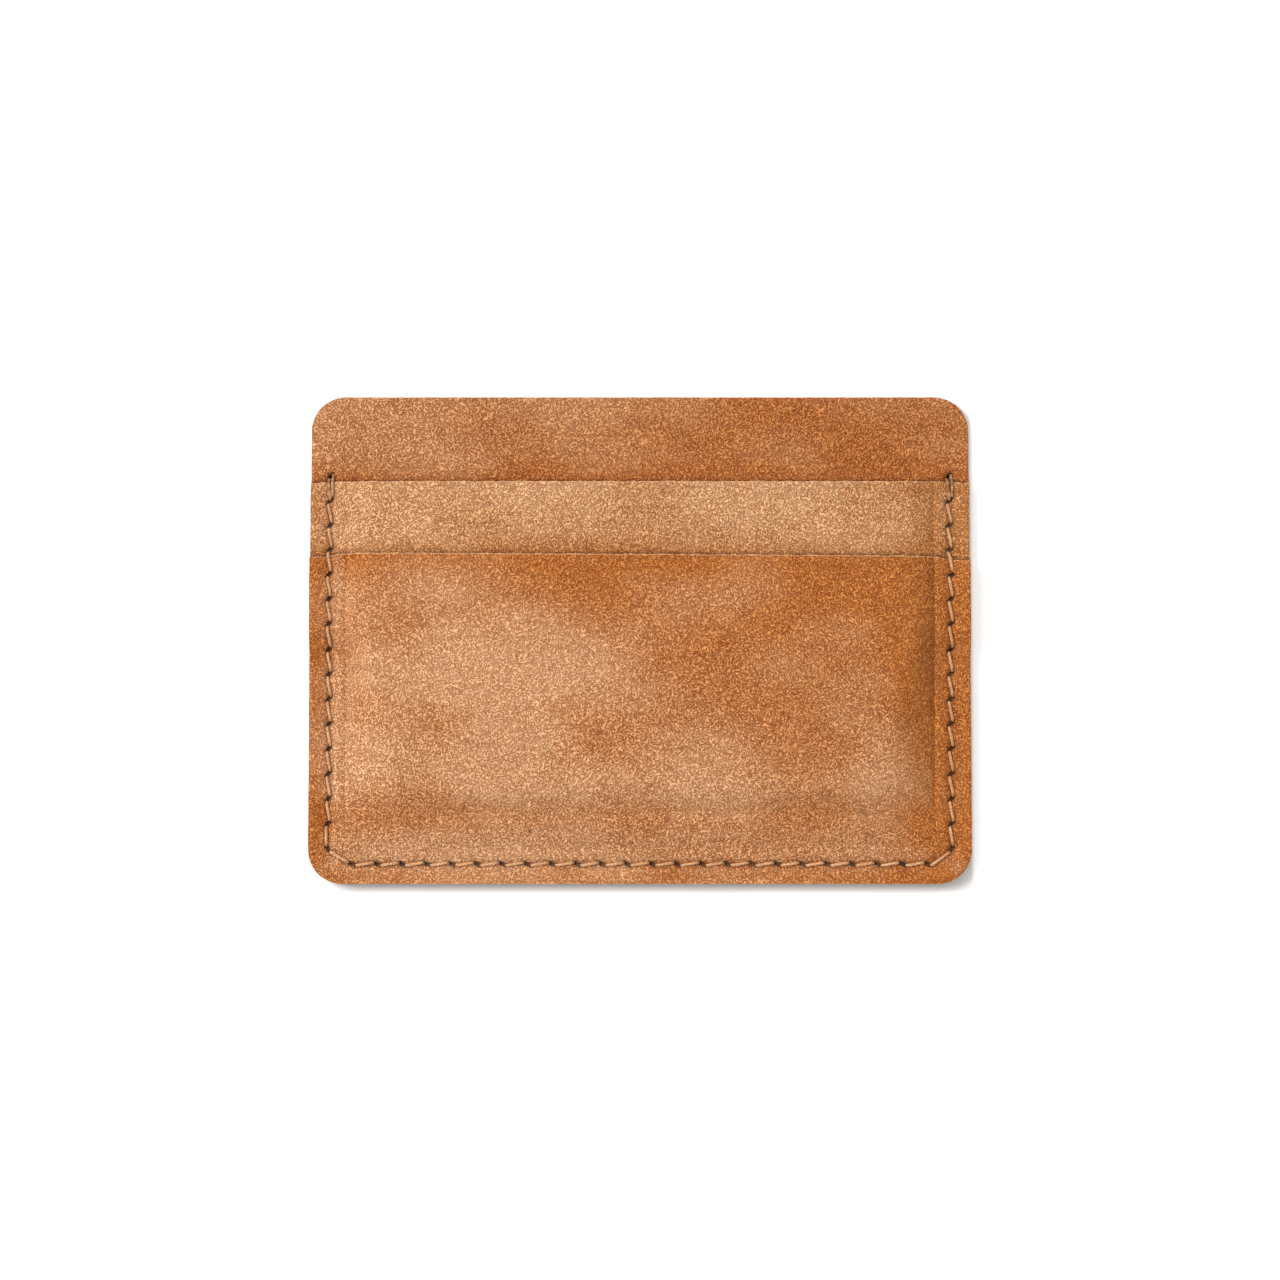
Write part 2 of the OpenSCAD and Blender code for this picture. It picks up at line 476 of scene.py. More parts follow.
    def round_holes(self, x: Grid, y: Grid, holes: list[Hole]) -> Iterator[tuple[Hole, Grid, Grid, Grid]]:
        """Goes through the holes that have points near them.

        Args:
            x: positions across.
            y: positions up.
            holes: the slits to go through.

        Yields:
            The hole, the mask of the points near it, and their places along and across the slit.
        """
        for hole in holes:
            near = (np.abs(x - hole.x) < self.hole_room) & (np.abs(y - hole.y) < self.hole_room)
            if not near.any():
                continue
            c, s = math.cos(hole.slant), math.sin(hole.slant)
            along = (x[near] - hole.x) * c + (y[near] - hole.y) * s
            across = -(x[near] - hole.x) * s + (y[near] - hole.y) * c
            yield hole, near, along, across

    def dimples(self, x: Grid, y: Grid) -> Grid:
        """Hollows round the slits, with a low lip on the side that the thread pulls up.

        Args:
            x: positions across.
            y: positions up.

        Returns:
            Heights to add, in millimetres.
        """
        total = np.zeros(np.shape(x))
        for _, near, along, across in self.round_holes(x, y, self.seam.holes):
            dip = -self.dimple * np.exp(-((along / 0.85) ** 2) - (across / 0.5) ** 2)
            lip = 0.1 * np.exp(-((along / 0.8) ** 2) - ((across - 0.75) / 0.35) ** 2)
            total[near] += dip + lip
        return total

    def stitch_distance(self, x: Grid, y: Grid) -> Grid:
        """Distance from the nearest stitch on the face.

        Args:
            x: positions across.
            y: positions up.

        Returns:
            The distances, in millimetres.
        """
        best = np.full(np.shape(x), 9.0)
        for hole, following in zip(self.seam.holes, self.seam.holes[1:]):
            a, b = hole.end(SlitEnd.AHEAD), following.end(SlitEnd.BEHIND)
            middle = ((a[0] + b[0]) / 2, (a[1] + b[1]) / 2)
            near = (np.abs(x - middle[0]) < self.stitch_room) & (np.abs(y - middle[1]) < self.stitch_room)
            if near.any():
                best[near] = np.minimum(best[near], run_distance(x[near], y[near], a, b))
        return best

    def slit_shade(self, x: Grid, y: Grid, holes: list[Hole]) -> Grid:
        """Painted shade in and round the slits, and darkening along the print of each stitch.

        Args:
            x: positions across.
            y: positions up.
            holes: the slits of this panel.

        Returns:
            The darkness, from 0 to 1.
        """
        total = self.print_dark * np.exp(-(self.stitch_distance(x, y) / self.print_half) ** 2)
        for hole, near, along, across in self.round_holes(x, y, holes):
            past = np.clip(np.abs(along) - hole.reach, 0, None)
            shade = np.exp(-((past / self.slit_past) ** 2) - (across / self.slit_across) ** 2)
            total[near] = np.maximum(total[near], shade)
        return total

    def face(self, x: Grid, y: Grid) -> Grid:
        """Height of the topmost face at a point of the perimeter seam.

        Args:
            x: positions across.
            y: positions up.

        Returns:
            Heights, in millimetres.
        """
        p = self.plan
        front = self.front_under(x, y) + p.front_t
        middle = self.t_under(x, y) + p.t_pocket_t
        back = np.full(np.shape(x), p.back_t)
        top = np.where(y < p.front_mouth, front, np.where(y < p.t_mouth, middle, back))
        return top + self.seam_relief(x, y)


# ---------------------------------------------------------------- modelling by hand, in millimetres


class Bench:
    """Blender's own operators, on one piece at a time."""

    @staticmethod
    def clear() -> None:
        """Deselects everything."""
        for obj in bpy.context.selected_objects:
            obj.select_set(False)
        bpy.context.view_layer.objects.active = None

    @staticmethod
    def pick(*objects: bpy.types.Object) -> None:
        """Selects only the given objects and makes the last one active.

        Args:
            *objects: what to select.
        """
        Bench.clear()
        for obj in objects:
            obj.select_set(True)
        bpy.context.view_layer.objects.active = objects[-1]

    @staticmethod
    def select_faces(obj: bpy.types.Object, test: Callable[[Vector], bool]) -> None:
        """Selects, in edit mode, the faces whose middle passes a test.

        Args:
            obj: the piece in edit mode.
            test: whether a face's middle is wanted.
        """
        bpy.ops.mesh.select_mode(type="FACE")
        bpy.ops.mesh.select_all(action="DESELECT")
        mesh = bmesh.from_edit_mesh(obj.data)
        for face in mesh.faces:
            face.select_set(test(face.calc_center_median()))
        bmesh.update_edit_mesh(obj.data)

    @staticmethod
    def select_vertices(obj: bpy.types.Object, test: Callable[[Vector], bool]) -> None:
        """Selects, in edit mode, the vertices that pass a test.

        Args:
            obj: the piece in edit mode.
            test: whether a vertex's place is wanted.
        """
        bpy.ops.mesh.select_mode(type="VERT")
        bpy.ops.mesh.select_all(action="DESELECT")
        mesh = bmesh.from_edit_mesh(obj.data)
        for vertex in mesh.verts:
            vertex.select_set(test(vertex.co))
        mesh.select_flush_mode()
        bmesh.update_edit_mesh(obj.data)

    @staticmethod
    def cut_lines(positions: Iterable[float], axis: Vector) -> None:
        """Cuts everything along parallel lines.

        Args:
            positions: where the lines lie along the axis.
            axis: the direction square to the lines.
        """
        for position in positions:
            bpy.ops.mesh.select_all(action="SELECT")
            bpy.ops.mesh.bisect(plane_co=axis * position, plane_no=axis, threshold=1e-4)

    @staticmethod
    def apply(obj: bpy.types.Object, kind: str, **settings: object) -> None:
        """Adds one modifier with its settings and applies it.

        Args:
            obj: the piece to change.
            kind: the modifier's type name.
            **settings: the modifier's own properties.
        """
        modifier = obj.modifiers.new(kind.title(), kind)
        for key, value in settings.items():
            setattr(modifier, key, value)
        Bench.pick(obj)
        bpy.ops.object.modifier_apply(modifier=modifier.name)

    @staticmethod
    def twin(obj: bpy.types.Object) -> bpy.types.Object:
        """Copies a piece, mesh and all.

        Args:
            obj: the piece to copy.

        Returns:
            The copy.
        """
        copy = obj.copy()
        copy.data = obj.data.copy()
        bpy.context.collection.objects.link(copy)
        return copy

    @staticmethod
    def points(obj: bpy.types.Object) -> Grid:
        """All vertex positions, one row each.

        Args:
            obj: the piece to read.

        Returns:
            The positions.
        """
        co = np.empty(len(obj.data.vertices) * 3)
        obj.data.vertices.foreach_get("co", co)
        return co.reshape(-1, 3)

    @staticmethod
    def move_points(obj: bpy.types.Object, co: Grid) -> None:
        """Puts the vertices at new positions."""
        obj.data.vertices.foreach_set("co", co.astype(np.float32).ravel())
        obj.data.update()

    @staticmethod
    def paint(obj: bpy.types.Object, name: str, values: Grid) -> None:
        """Stores one number for each vertex, which a material reads by name."""
        layer = obj.data.attributes.new(name, "FLOAT", "POINT")
        layer.data.foreach_set("value", values.astype(np.float32))

    @staticmethod
    def to_metres(obj: bpy.types.Object) -> None:
        """Brings a finished piece from millimetres to metres and makes its normals agree.

        Args:
            obj: the finished piece.
        """
        Bench.pick(obj)
        obj.scale = (MM, MM, MM)
        bpy.ops.object.transform_apply(location=True, rotation=True, scale=True)
        bpy.ops.object.mode_set(mode="EDIT")
        bpy.ops.mesh.select_all(action="SELECT")
        bpy.ops.mesh.normals_make_consistent(inside=False)
        bpy.ops.object.mode_set(mode="OBJECT")


def graded(low: float, high: float, coarse: float, fine: float, zones: list[Point]) -> list[float]:
    """Positions of cutting lines, closer together inside some zones.

    Args:
        low: where the sheet starts.
        high: where it ends.
        coarse: spacing outside the zones.
        fine: spacing inside them.
        zones: stretches to cut finely.

    Returns:
        The positions, without the two ends.
    """
    spots = []
    at = low
    while True:
        near = any(a - fine <= at <= b for a, b in zones)
        at += fine if near else coarse
        if at > high - fine / 2:
            return spots
        spots.append(at)


@dataclass(frozen=True)
class FibreStyle:
    """How long, thick and bent the loose fibres of a cut edge may be, in millimetres."""

    length: Point = (0.3, 0.75)
    thick: Point = (0.028, 0.05)
    lean: float = 1.3
    curl: float = 1.4
    taper: float = 0.5
    flatten: float = 0.6
    clear: float = 0.4
    inset: float = 0.12
    depth: Point = (0.1, 0.3)
    climb: float = 0.12
    climbs: Point = (-0.6, 1)


@dataclass
class LeatherSheet:
    """A panel: a flat blank is cut out, ringed, gridded, thickened, slit and then formed."""

    plan: Plan
    lie: Lie
    name: str = ""
    node: str = ""
    thickness: float = 1.2
    low: Point = (0, 0)
    high: Point = (0, 0)
    cell: float = 0.5
    fine_cell: float = 0.28
    rim_steps: tuple[float, ...] = (0.07, 0.13, 0.25)
    phase: float = 0.0
    mouth_fray: float = 1.0
    fibre_count: int = 0
    fibre: FibreStyle = FibreStyle()
    edge_round: float = 0.17
    round_run: float = 0.45
    fray_depth: float = 0.012
    slit_spare: float = 0.34
    slit_half: float = 0.31
    x_zones: list[Point] = field(default_factory=list)
    y_zones: list[Point] = field(default_factory=list)
    rim: list[Point] = field(default_factory=list, init=False)

    def trim(self, blank: bpy.types.Object) -> None:
        """Cuts the rectangular blank to its outline, in edit mode."""

    def slits(self) -> list[Hole]:
        """The stitch holes that go through this panel."""
        return []

    def under(self, x: Grid, y: Grid) -> Grid:
        """Height of the formed underside."""
        return np.zeros(np.shape(x))

    def relief(self, x: Grid, y: Grid) -> Grid:
        """Extra height of the face alone."""
        return self.lie.seam_relief(x, y) + self.lie.ripple(x, y, self.phase)

    def rear_relief(self, x: Grid, y: Grid) -> Grid:
        """Extra height of the underside alone."""
        return np.zeros(np.shape(x))

    def shift(self, x: Grid, y: Grid) -> tuple[Grid, Grid]:
        """How far points creep in the plane of the sheet."""
        return np.zeros(np.shape(x)), np.zeros(np.shape(x))

    def gap_shade(self, x: Grid, y: Grid) -> Grid:
        """The painted shadow line where the next panel's mouth lies on this one."""
        return np.zeros(np.shape(x))

    def wear_and_painted_shade(self, x: Grid, y: Grid) -> Grid:
        """How far the face is darkened: painted shade where it turns from the light, and plain darkening
        at the margins and folds.
        """
        return np.zeros(np.shape(x))

    def cut_blank(self) -> bpy.types.Object:
        """Makes the flat, gridded and thickened sheet.

        Returns:
            The panel as a closed slab with its underside at height 0.
        """
        Bench.clear()
        w, h = self.high[0] - self.low[0], self.high[1] - self.low[1]
        centre = ((self.low[0] + self.high[0]) / 2, (self.low[1] + self.high[1]) / 2, self.thickness)
        bpy.ops.mesh.primitive_plane_add(size=1, location=centre)
        sheet = bpy.context.object
        sheet.name = sheet.data.name = self.name
        sheet.scale = (w, h, 1)
        bpy.ops.object.transform_apply(location=True, rotation=True, scale=True)
        bpy.ops.object.mode_set(mode="EDIT")
        self.trim(sheet)
        bpy.ops.mesh.select_mode(type="FACE")
        bpy.ops.mesh.select_all(action="SELECT")
        for step in self.rim_steps:
            bpy.ops.mesh.inset(thickness=step, depth=0)
        factor = 1
        cell, fine = self.cell * factor, self.fine_cell * factor
        Bench.cut_lines(graded(self.low[0], self.high[0], cell, fine, self.x_zones), Vector((1, 0, 0)))
        Bench.cut_lines(graded(self.low[1], self.high[1], cell, fine, self.y_zones), Vector((0, 1, 0)))
        bpy.ops.mesh.select_all(action="SELECT")
        bpy.ops.mesh.remove_doubles(threshold=0.02)
        bpy.ops.mesh.select_all(action="SELECT")
        bpy.ops.mesh.extrude_region_move(TRANSFORM_OT_translate={"value": (0, 0, -self.thickness)})
        bpy.ops.mesh.select_all(action="SELECT")
        bpy.ops.mesh.normals_make_consistent(inside=False)
        bpy.ops.object.mode_set(mode="OBJECT")
        return sheet

    def rim_distance(self, co: Grid) -> Grid:
        """Distance of each vertex from the cut edge, measured over the grid before slitting.

        Args:
            co: the vertices' positions.

        Returns:
            The distances, in millimetres.
        """
        tree = KDTree(len(self.rim))
        for i, (x, y) in enumerate(self.rim):
            tree.insert((x, y, 0), i)
        tree.balance()
        return np.array([tree.find((x, y, 0))[2] for x, y in co[:, :2]])

    def pierce(self, sheet: bpy.types.Object) -> None:
        """Cuts the slits: one pointed cutter is modelled and copied to every hole.

        Args:
            sheet: the panel, in millimetres.
        """
        holes = self.slits()
        if not holes:
            return
        Bench.clear()
        bpy.ops.mesh.primitive_cylinder_add(vertices=6, radius=1, depth=8, location=(0, 0, 0))
        cutter = bpy.context.object
        copies = []
        for hole in holes:
            copy = Bench.twin(cutter)
            copy.location = (hole.x, hole.y, 1)
            copy.rotation_euler = (0, 0, hole.slant)
            copy.scale = (hole.reach + self.slit_spare, self.slit_half, 1)
            copies.append(copy)
        bpy.data.objects.remove(cutter)
        Bench.pick(*copies)
        bpy.ops.object.join()
        joined = bpy.context.object
        Bench.pick(joined)
        bpy.ops.object.transform_apply(location=True, rotation=True, scale=True)
        Bench.apply(sheet, "BOOLEAN", object=joined, operation="DIFFERENCE", solver="EXACT")
        bpy.data.objects.remove(joined)

    def form(self, sheet: bpy.types.Object) -> None:
        """Bends the slab to its lie, draws the seam in and rounds the cut edges.

        Args:
            sheet: the flat panel, already slit.
        """
        co = Bench.points(sheet)
        x, y = co[:, 0].copy(), co[:, 1].copy()
        share = np.clip(co[:, 2] / self.thickness, 0, 1)
        rim = self.rim_distance(co)
        mouth = self.high[1] - y
        at_mouth = self.mouth_fray * np.clip(1 - mouth / 0.6, 0, 1)
        rounding = self.edge_round * np.clip(1 - rim / self.round_run, 0, 1) ** 2
        wander = np.sin(x * 2.3 + 1.7 * np.sin(x * 0.9) + y) + 0.6 * np.sin(x * 6.1 + y * 5.3)
        fray = self.fray_depth * wander * (1 + 3.4 * at_mouth)
        dx, dy = self.shift(x, y)
        z = self.under(x, y) + share * self.thickness
        z += share * self.relief(x, y) + (1 - share) * self.rear_relief(x, y)
        z += rounding * (1 - 2 * share)
        inward = np.clip(1 - rim / 0.3, 0, 1)
        co[:, 0] = x + dx + inward * fray * (1 - at_mouth)
        co[:, 1] = y + dy + inward * fray
        co[:, 2] = z
        Bench.move_points(sheet, co)
        Bench.paint(sheet, "raw_edge", np.clip(1 - rim / (0.09 + 0.28 * at_mouth), 0, 1))
        Bench.paint(sheet, "seam", np.exp(-(self.lie.seam.distance(x, y) / 0.55) ** 2))
        # Painted shade, with some plain darkening, which the material reads to darken the face.
        Bench.paint(sheet, "wear_and_painted_shade", self.wear_and_painted_shade(x, y))
        # The slits' painted shade, the stitch prints and the painted shadow along the mouths.
        slit = self.lie.slit_shade(x, y, self.slits())
        Bench.paint(sheet, "slit", np.maximum(slit, self.gap_shade(x, y)))

    def raise_fibres(self, sheet: bpy.types.Object) -> None:
        """Roots loose fibres in the cut edge of the mouth: one is modelled and copied.

        Args:
            sheet: the formed panel.
        """
        if not self.fibre_count:
            return
        rng = np.random.default_rng(SEED + self.fibre_count)
        Bench.clear()
        bpy.ops.mesh.primitive_cone_add(vertices=4, radius1=1, radius2=0.2, depth=1, location=(0, 0, 0))
        first = bpy.context.object
        bpy.ops.object.mode_set(mode="EDIT")
        bpy.ops.mesh.select_all(action="SELECT")
        bpy.ops.transform.translate(value=(0, 0, 0.5))
        Bench.cut_lines([0.35, 0.7], Vector((0, 0, 1)))
        bpy.ops.object.mode_set(mode="OBJECT")
        copies = []
        for _ in range(self.fibre_count):
            copy = Bench.twin(first)
            self.lay_fibre(copy, rng)
            copies.append(copy)
        bpy.data.objects.remove(first)
        Bench.pick(*copies)
        bpy.ops.object.join()
        loose = bpy.context.object
        count = len(loose.data.vertices)
        for name in MARKS:
            Bench.paint(loose, name, np.full(count, float(name == "raw_edge")))
        Bench.pick(loose, sheet)
        bpy.ops.object.join()

    def lay_fibre(self, fibre: bpy.types.Object, rng: np.random.Generator) -> None:
        """Bends one fibre and sets it somewhere along the mouth.

        Args:
            fibre: a straight, tapering spike of unit length.
            rng: the panel's own random numbers.
        """
        co = Bench.points(fibre)
        style = self.fibre
        length = rng.uniform(*style.length)
        thick = rng.uniform(*style.thick)
        lean, curl = rng.uniform(-style.lean, style.lean), rng.uniform(-style.curl, style.curl)
        along = co[:, 2]
        angle = lean + curl * along
        x = length * along * np.sin(angle) + thick * co[:, 0] * (1 - style.taper * along)
        y = length * along * np.cos(angle) * style.flatten
        reach = self.plan.half_w - style.clear
        root_x = np.array([rng.uniform(-reach, reach)])
        root_y = np.array([self.high[1] - style.inset])
        dx, dy = self.shift(root_x, root_y)
        top = self.under(root_x, root_y) + self.thickness + self.relief(root_x, root_y)
        z = top[0] - rng.uniform(*style.depth) + thick * co[:, 1]
        z += style.climb * along * rng.uniform(*style.climbs)
        Bench.move_points(fibre, np.column_stack([x + root_x + dx, y + root_y + dy, z]))

    def build(self) -> bpy.types.Object:
        """Makes the whole panel, in metres.

        Returns:
            The finished panel.
        """
        sheet = self.cut_blank()
        co = Bench.points(sheet)
        self.rim = self.edge_points(sheet, co)
        self.pierce(sheet)
        self.form(sheet)
        self.raise_fibres(sheet)
        Bench.to_metres(sheet)
        Bench.pick(sheet)
        bpy.ops.object.shade_smooth_by_angle(angle=math.radians(38))
        return sheet

    def edge_points(self, sheet: bpy.types.Object, co: Grid) -> list[Point]:
        """Points along the outline: the ends of all upright edges.

        Args:
            sheet: the flat panel, not yet slit.
            co: its vertices' positions.

        Returns:
            The points.
        """
        rim = []
        for edge in sheet.data.edges:
            a, b = co[edge.vertices[0]], co[edge.vertices[1]]
            if abs(a[2] - b[2]) > self.thickness / 2:
                rim.append((float(a[0]), float(a[1])))
        return rim


def round_corners(obj: bpy.types.Object, test: Callable[[Vector], bool], radius: float) -> None:
    """Rounds the chosen corners of a flat blank, in edit mode."""
    Bench.select_vertices(obj, test)
    bpy.ops.mesh.bevel(offset=radius, offset_type="OFFSET", segments=14, affect="VERTICES")


@dataclass
class BackPanel(LeatherSheet):
    """The only full-height panel, with a groove in its rear face for the rear stitches."""

    groove_depth: float = 0.62
    groove_half: float = 0.95

    def trim(self, blank: bpy.types.Object) -> None:
        """Rounds all four corners."""
        round_corners(blank, lambda co: True, self.plan.corner_r)

    def slits(self) -> list[Hole]:
        """Both rows of stitches go through the back."""
        return self.lie.seam.holes + self.lie.stem.holes

    def relief(self, x: Grid, y: Grid) -> Grid:
        """The face is drawn in only round the top holes, where no other panel covers it.

        Args:
            x: positions across.
            y: positions up.

        Returns:
            Heights to add, in millimetres.
        """
        covered = y < self.plan.t_mouth - 0.4
        drawn = self.lie.seam_relief(x, y)
        return np.where(covered, 0, drawn) + 0.5 * self.lie.ripple(x, y, self.phase)

    def rear_relief(self, x: Grid, y: Grid) -> Grid:
        """The cut groove along both rows of stitches."""
        d = np.minimum(self.lie.seam.distance(x, y), self.lie.stem.distance(x, y))
        return self.groove_depth * (1 - Ramp.SMOOTH.rise((d - self.groove_half + 0.15) / 0.3))

    def gap_shade(self, x: Grid, y: Grid) -> Grid:
        """Painted shadow along the T pocket's mouth.

        Args:
            x: positions across.
            y: positions up.

        Returns:
            The darkness, from 0 to 1.
        """
        dip = 0.2 * Ramp.SMOOTH.rise((np.abs(x) - self.plan.seam_x) / 3)
        line = self.plan.t_mouth + GAP_OFFSET - dip
        return GAP_DARK * np.exp(-(np.clip(y - line, 0, None) / GAP_WIDTH) ** 2)

    def wear_and_painted_shade(self, x: Grid, y: Grid) -> Grid:
        """Painted shade: browner towards the right, away from the light, and darker just above the T
        pocket's mouth.

        Args:
            x: positions across.
            y: positions up.

        Returns:
            How dark the face is painted, 0 for its own colour.
        """
        # Painted shade just above the T pocket's mouth, and painted shade growing towards the right.
        reach = np.clip(y - self.plan.t_mouth, 0, None)
        shade_above_mouth = 0.85 * np.exp(-(reach / 2.4) ** 1.3)
        return np.clip(0.62 + 0.016 * x, 0, 0.64) + shade_above_mouth


@dataclass
class TPocket(LeatherSheet):
    """The middle pocket: two ears held in the side seams and a tapered stem."""

    def trim(self, blank: bpy.types.Object) -> None:
        """Cuts away what lies beside the stem, below the ears.

        Args:
            blank: the flat blank, in edit mode.
        """
        p = self.plan
        Bench.cut_lines([p.ear_y], Vector((0, 1, 0)))
        rise = p.ear_y - p.stem_y
        for side in (-1, 1):
            out = Vector((side * rise, p.stem_half_base - p.stem_half_top, 0)).normalized()
            foot = Vector((side * p.stem_half_base, p.stem_y, 0))
            Bench.select_faces(blank, lambda co: co.y < p.ear_y)
            bpy.ops.mesh.bisect(plane_co=foot, plane_no=out, threshold=1e-4)
            Bench.select_faces(blank, lambda co: co.y < p.ear_y and (co - foot).xy.dot(out.xy) > 0)
            bpy.ops.mesh.delete(type="FACE")

    def slits(self) -> list[Hole]:
        """The ears take the side seams, and the stem takes its own row."""
        p = self.plan
        return [h for h in self.lie.seam.holes if p.ear_y < h.y < p.t_mouth] + self.lie.stem.holes

    def under(self, x: Grid, y: Grid) -> Grid:
        """The formed underside."""
        return self.lie.t_under(x, y)

    def relief(self, x: Grid, y: Grid) -> Grid:
        """The face is drawn in by the seam where the front pocket doesn't cover it.

        Args:
            x: positions across.
            y: positions up.

        Returns:
            Heights to add, in millimetres.
        """
        open_part = Ramp.SMOOTH.rise((y - self.plan.front_mouth + 1.2) / 1.0)
        drawn = self.lie.seam_relief(x, y) + self.lie.crease(x)
        return drawn * open_part + 0.5 * self.lie.ripple(x, y, self.phase)

    def gap_shade(self, x: Grid, y: Grid) -> Grid:
        """Painted shadow along the front pocket's mouth.

        Args:
            x: positions across.
            y: positions up.

        Returns:
            The darkness, from 0 to 1.
        """
        line = self.plan.front_mouth + GAP_OFFSET - 0.28 * x / self.plan.half_w
        line -= 0.5 * Ramp.SMOOTH.rise((np.abs(x) - self.plan.inner_x - 0.3) / 3.0)
        return GAP_DARK * np.exp(-(np.clip(y - line, 0, None) / GAP_WIDTH) ** 2)

    def wear_and_painted_shade(self, x: Grid, y: Grid) -> Grid:
        """Painted shade by the right crease, on the right slope, just above the front pocket's mouth and
        slightly towards the right; darker at the margins.

        Args:
            x: positions across.
            y: positions up.

        Returns:
            How dark the face is painted, 0 for its own colour.
        """
        p = self.plan
        # Painted shade above the front pocket's mouth, on the right slope and in the right crease; the
        # margins are just darker.
        shade_above_mouth = 0.95 * np.exp(-(np.clip(y - p.front_mouth, 0, None) / 1.7) ** 1.4)
        side = 0.55 * Ramp.SMOOTH.rise((x - p.inner_x + 6.5) / 6)
        edge = 0.35 * Ramp.SMOOTH.rise((np.abs(x) - p.seam_x) / 0.6)
        fold = 0.7 * np.exp(-((x - p.inner_x) / 0.35) ** 2)
        return np.clip(0.1 + 0.003 * x, 0, 1) + shade_above_mouth + side + edge + fold

    def shift(self, x: Grid, y: Grid) -> tuple[Grid, Grid]:
        """The mouth's outer corners sit a little lower.

        Args:
            x: positions across.
            y: positions up.

        Returns:
            The creep across and up, in millimetres.
        """
        p = self.plan
        near = np.clip((y - p.t_mouth + 3) / 3, 0, 1)
        outer = Ramp.SMOOTH.rise((np.abs(x) - p.seam_x) / p.seam_inset)
        return np.zeros(np.shape(x)), -0.22 * near * outer


@dataclass(frozen=True)
class Fold:
    """A fine wrinkle pressed into the face."""

    start: Point
    end: Point
    half_w: float
    depth: float
    stain: float


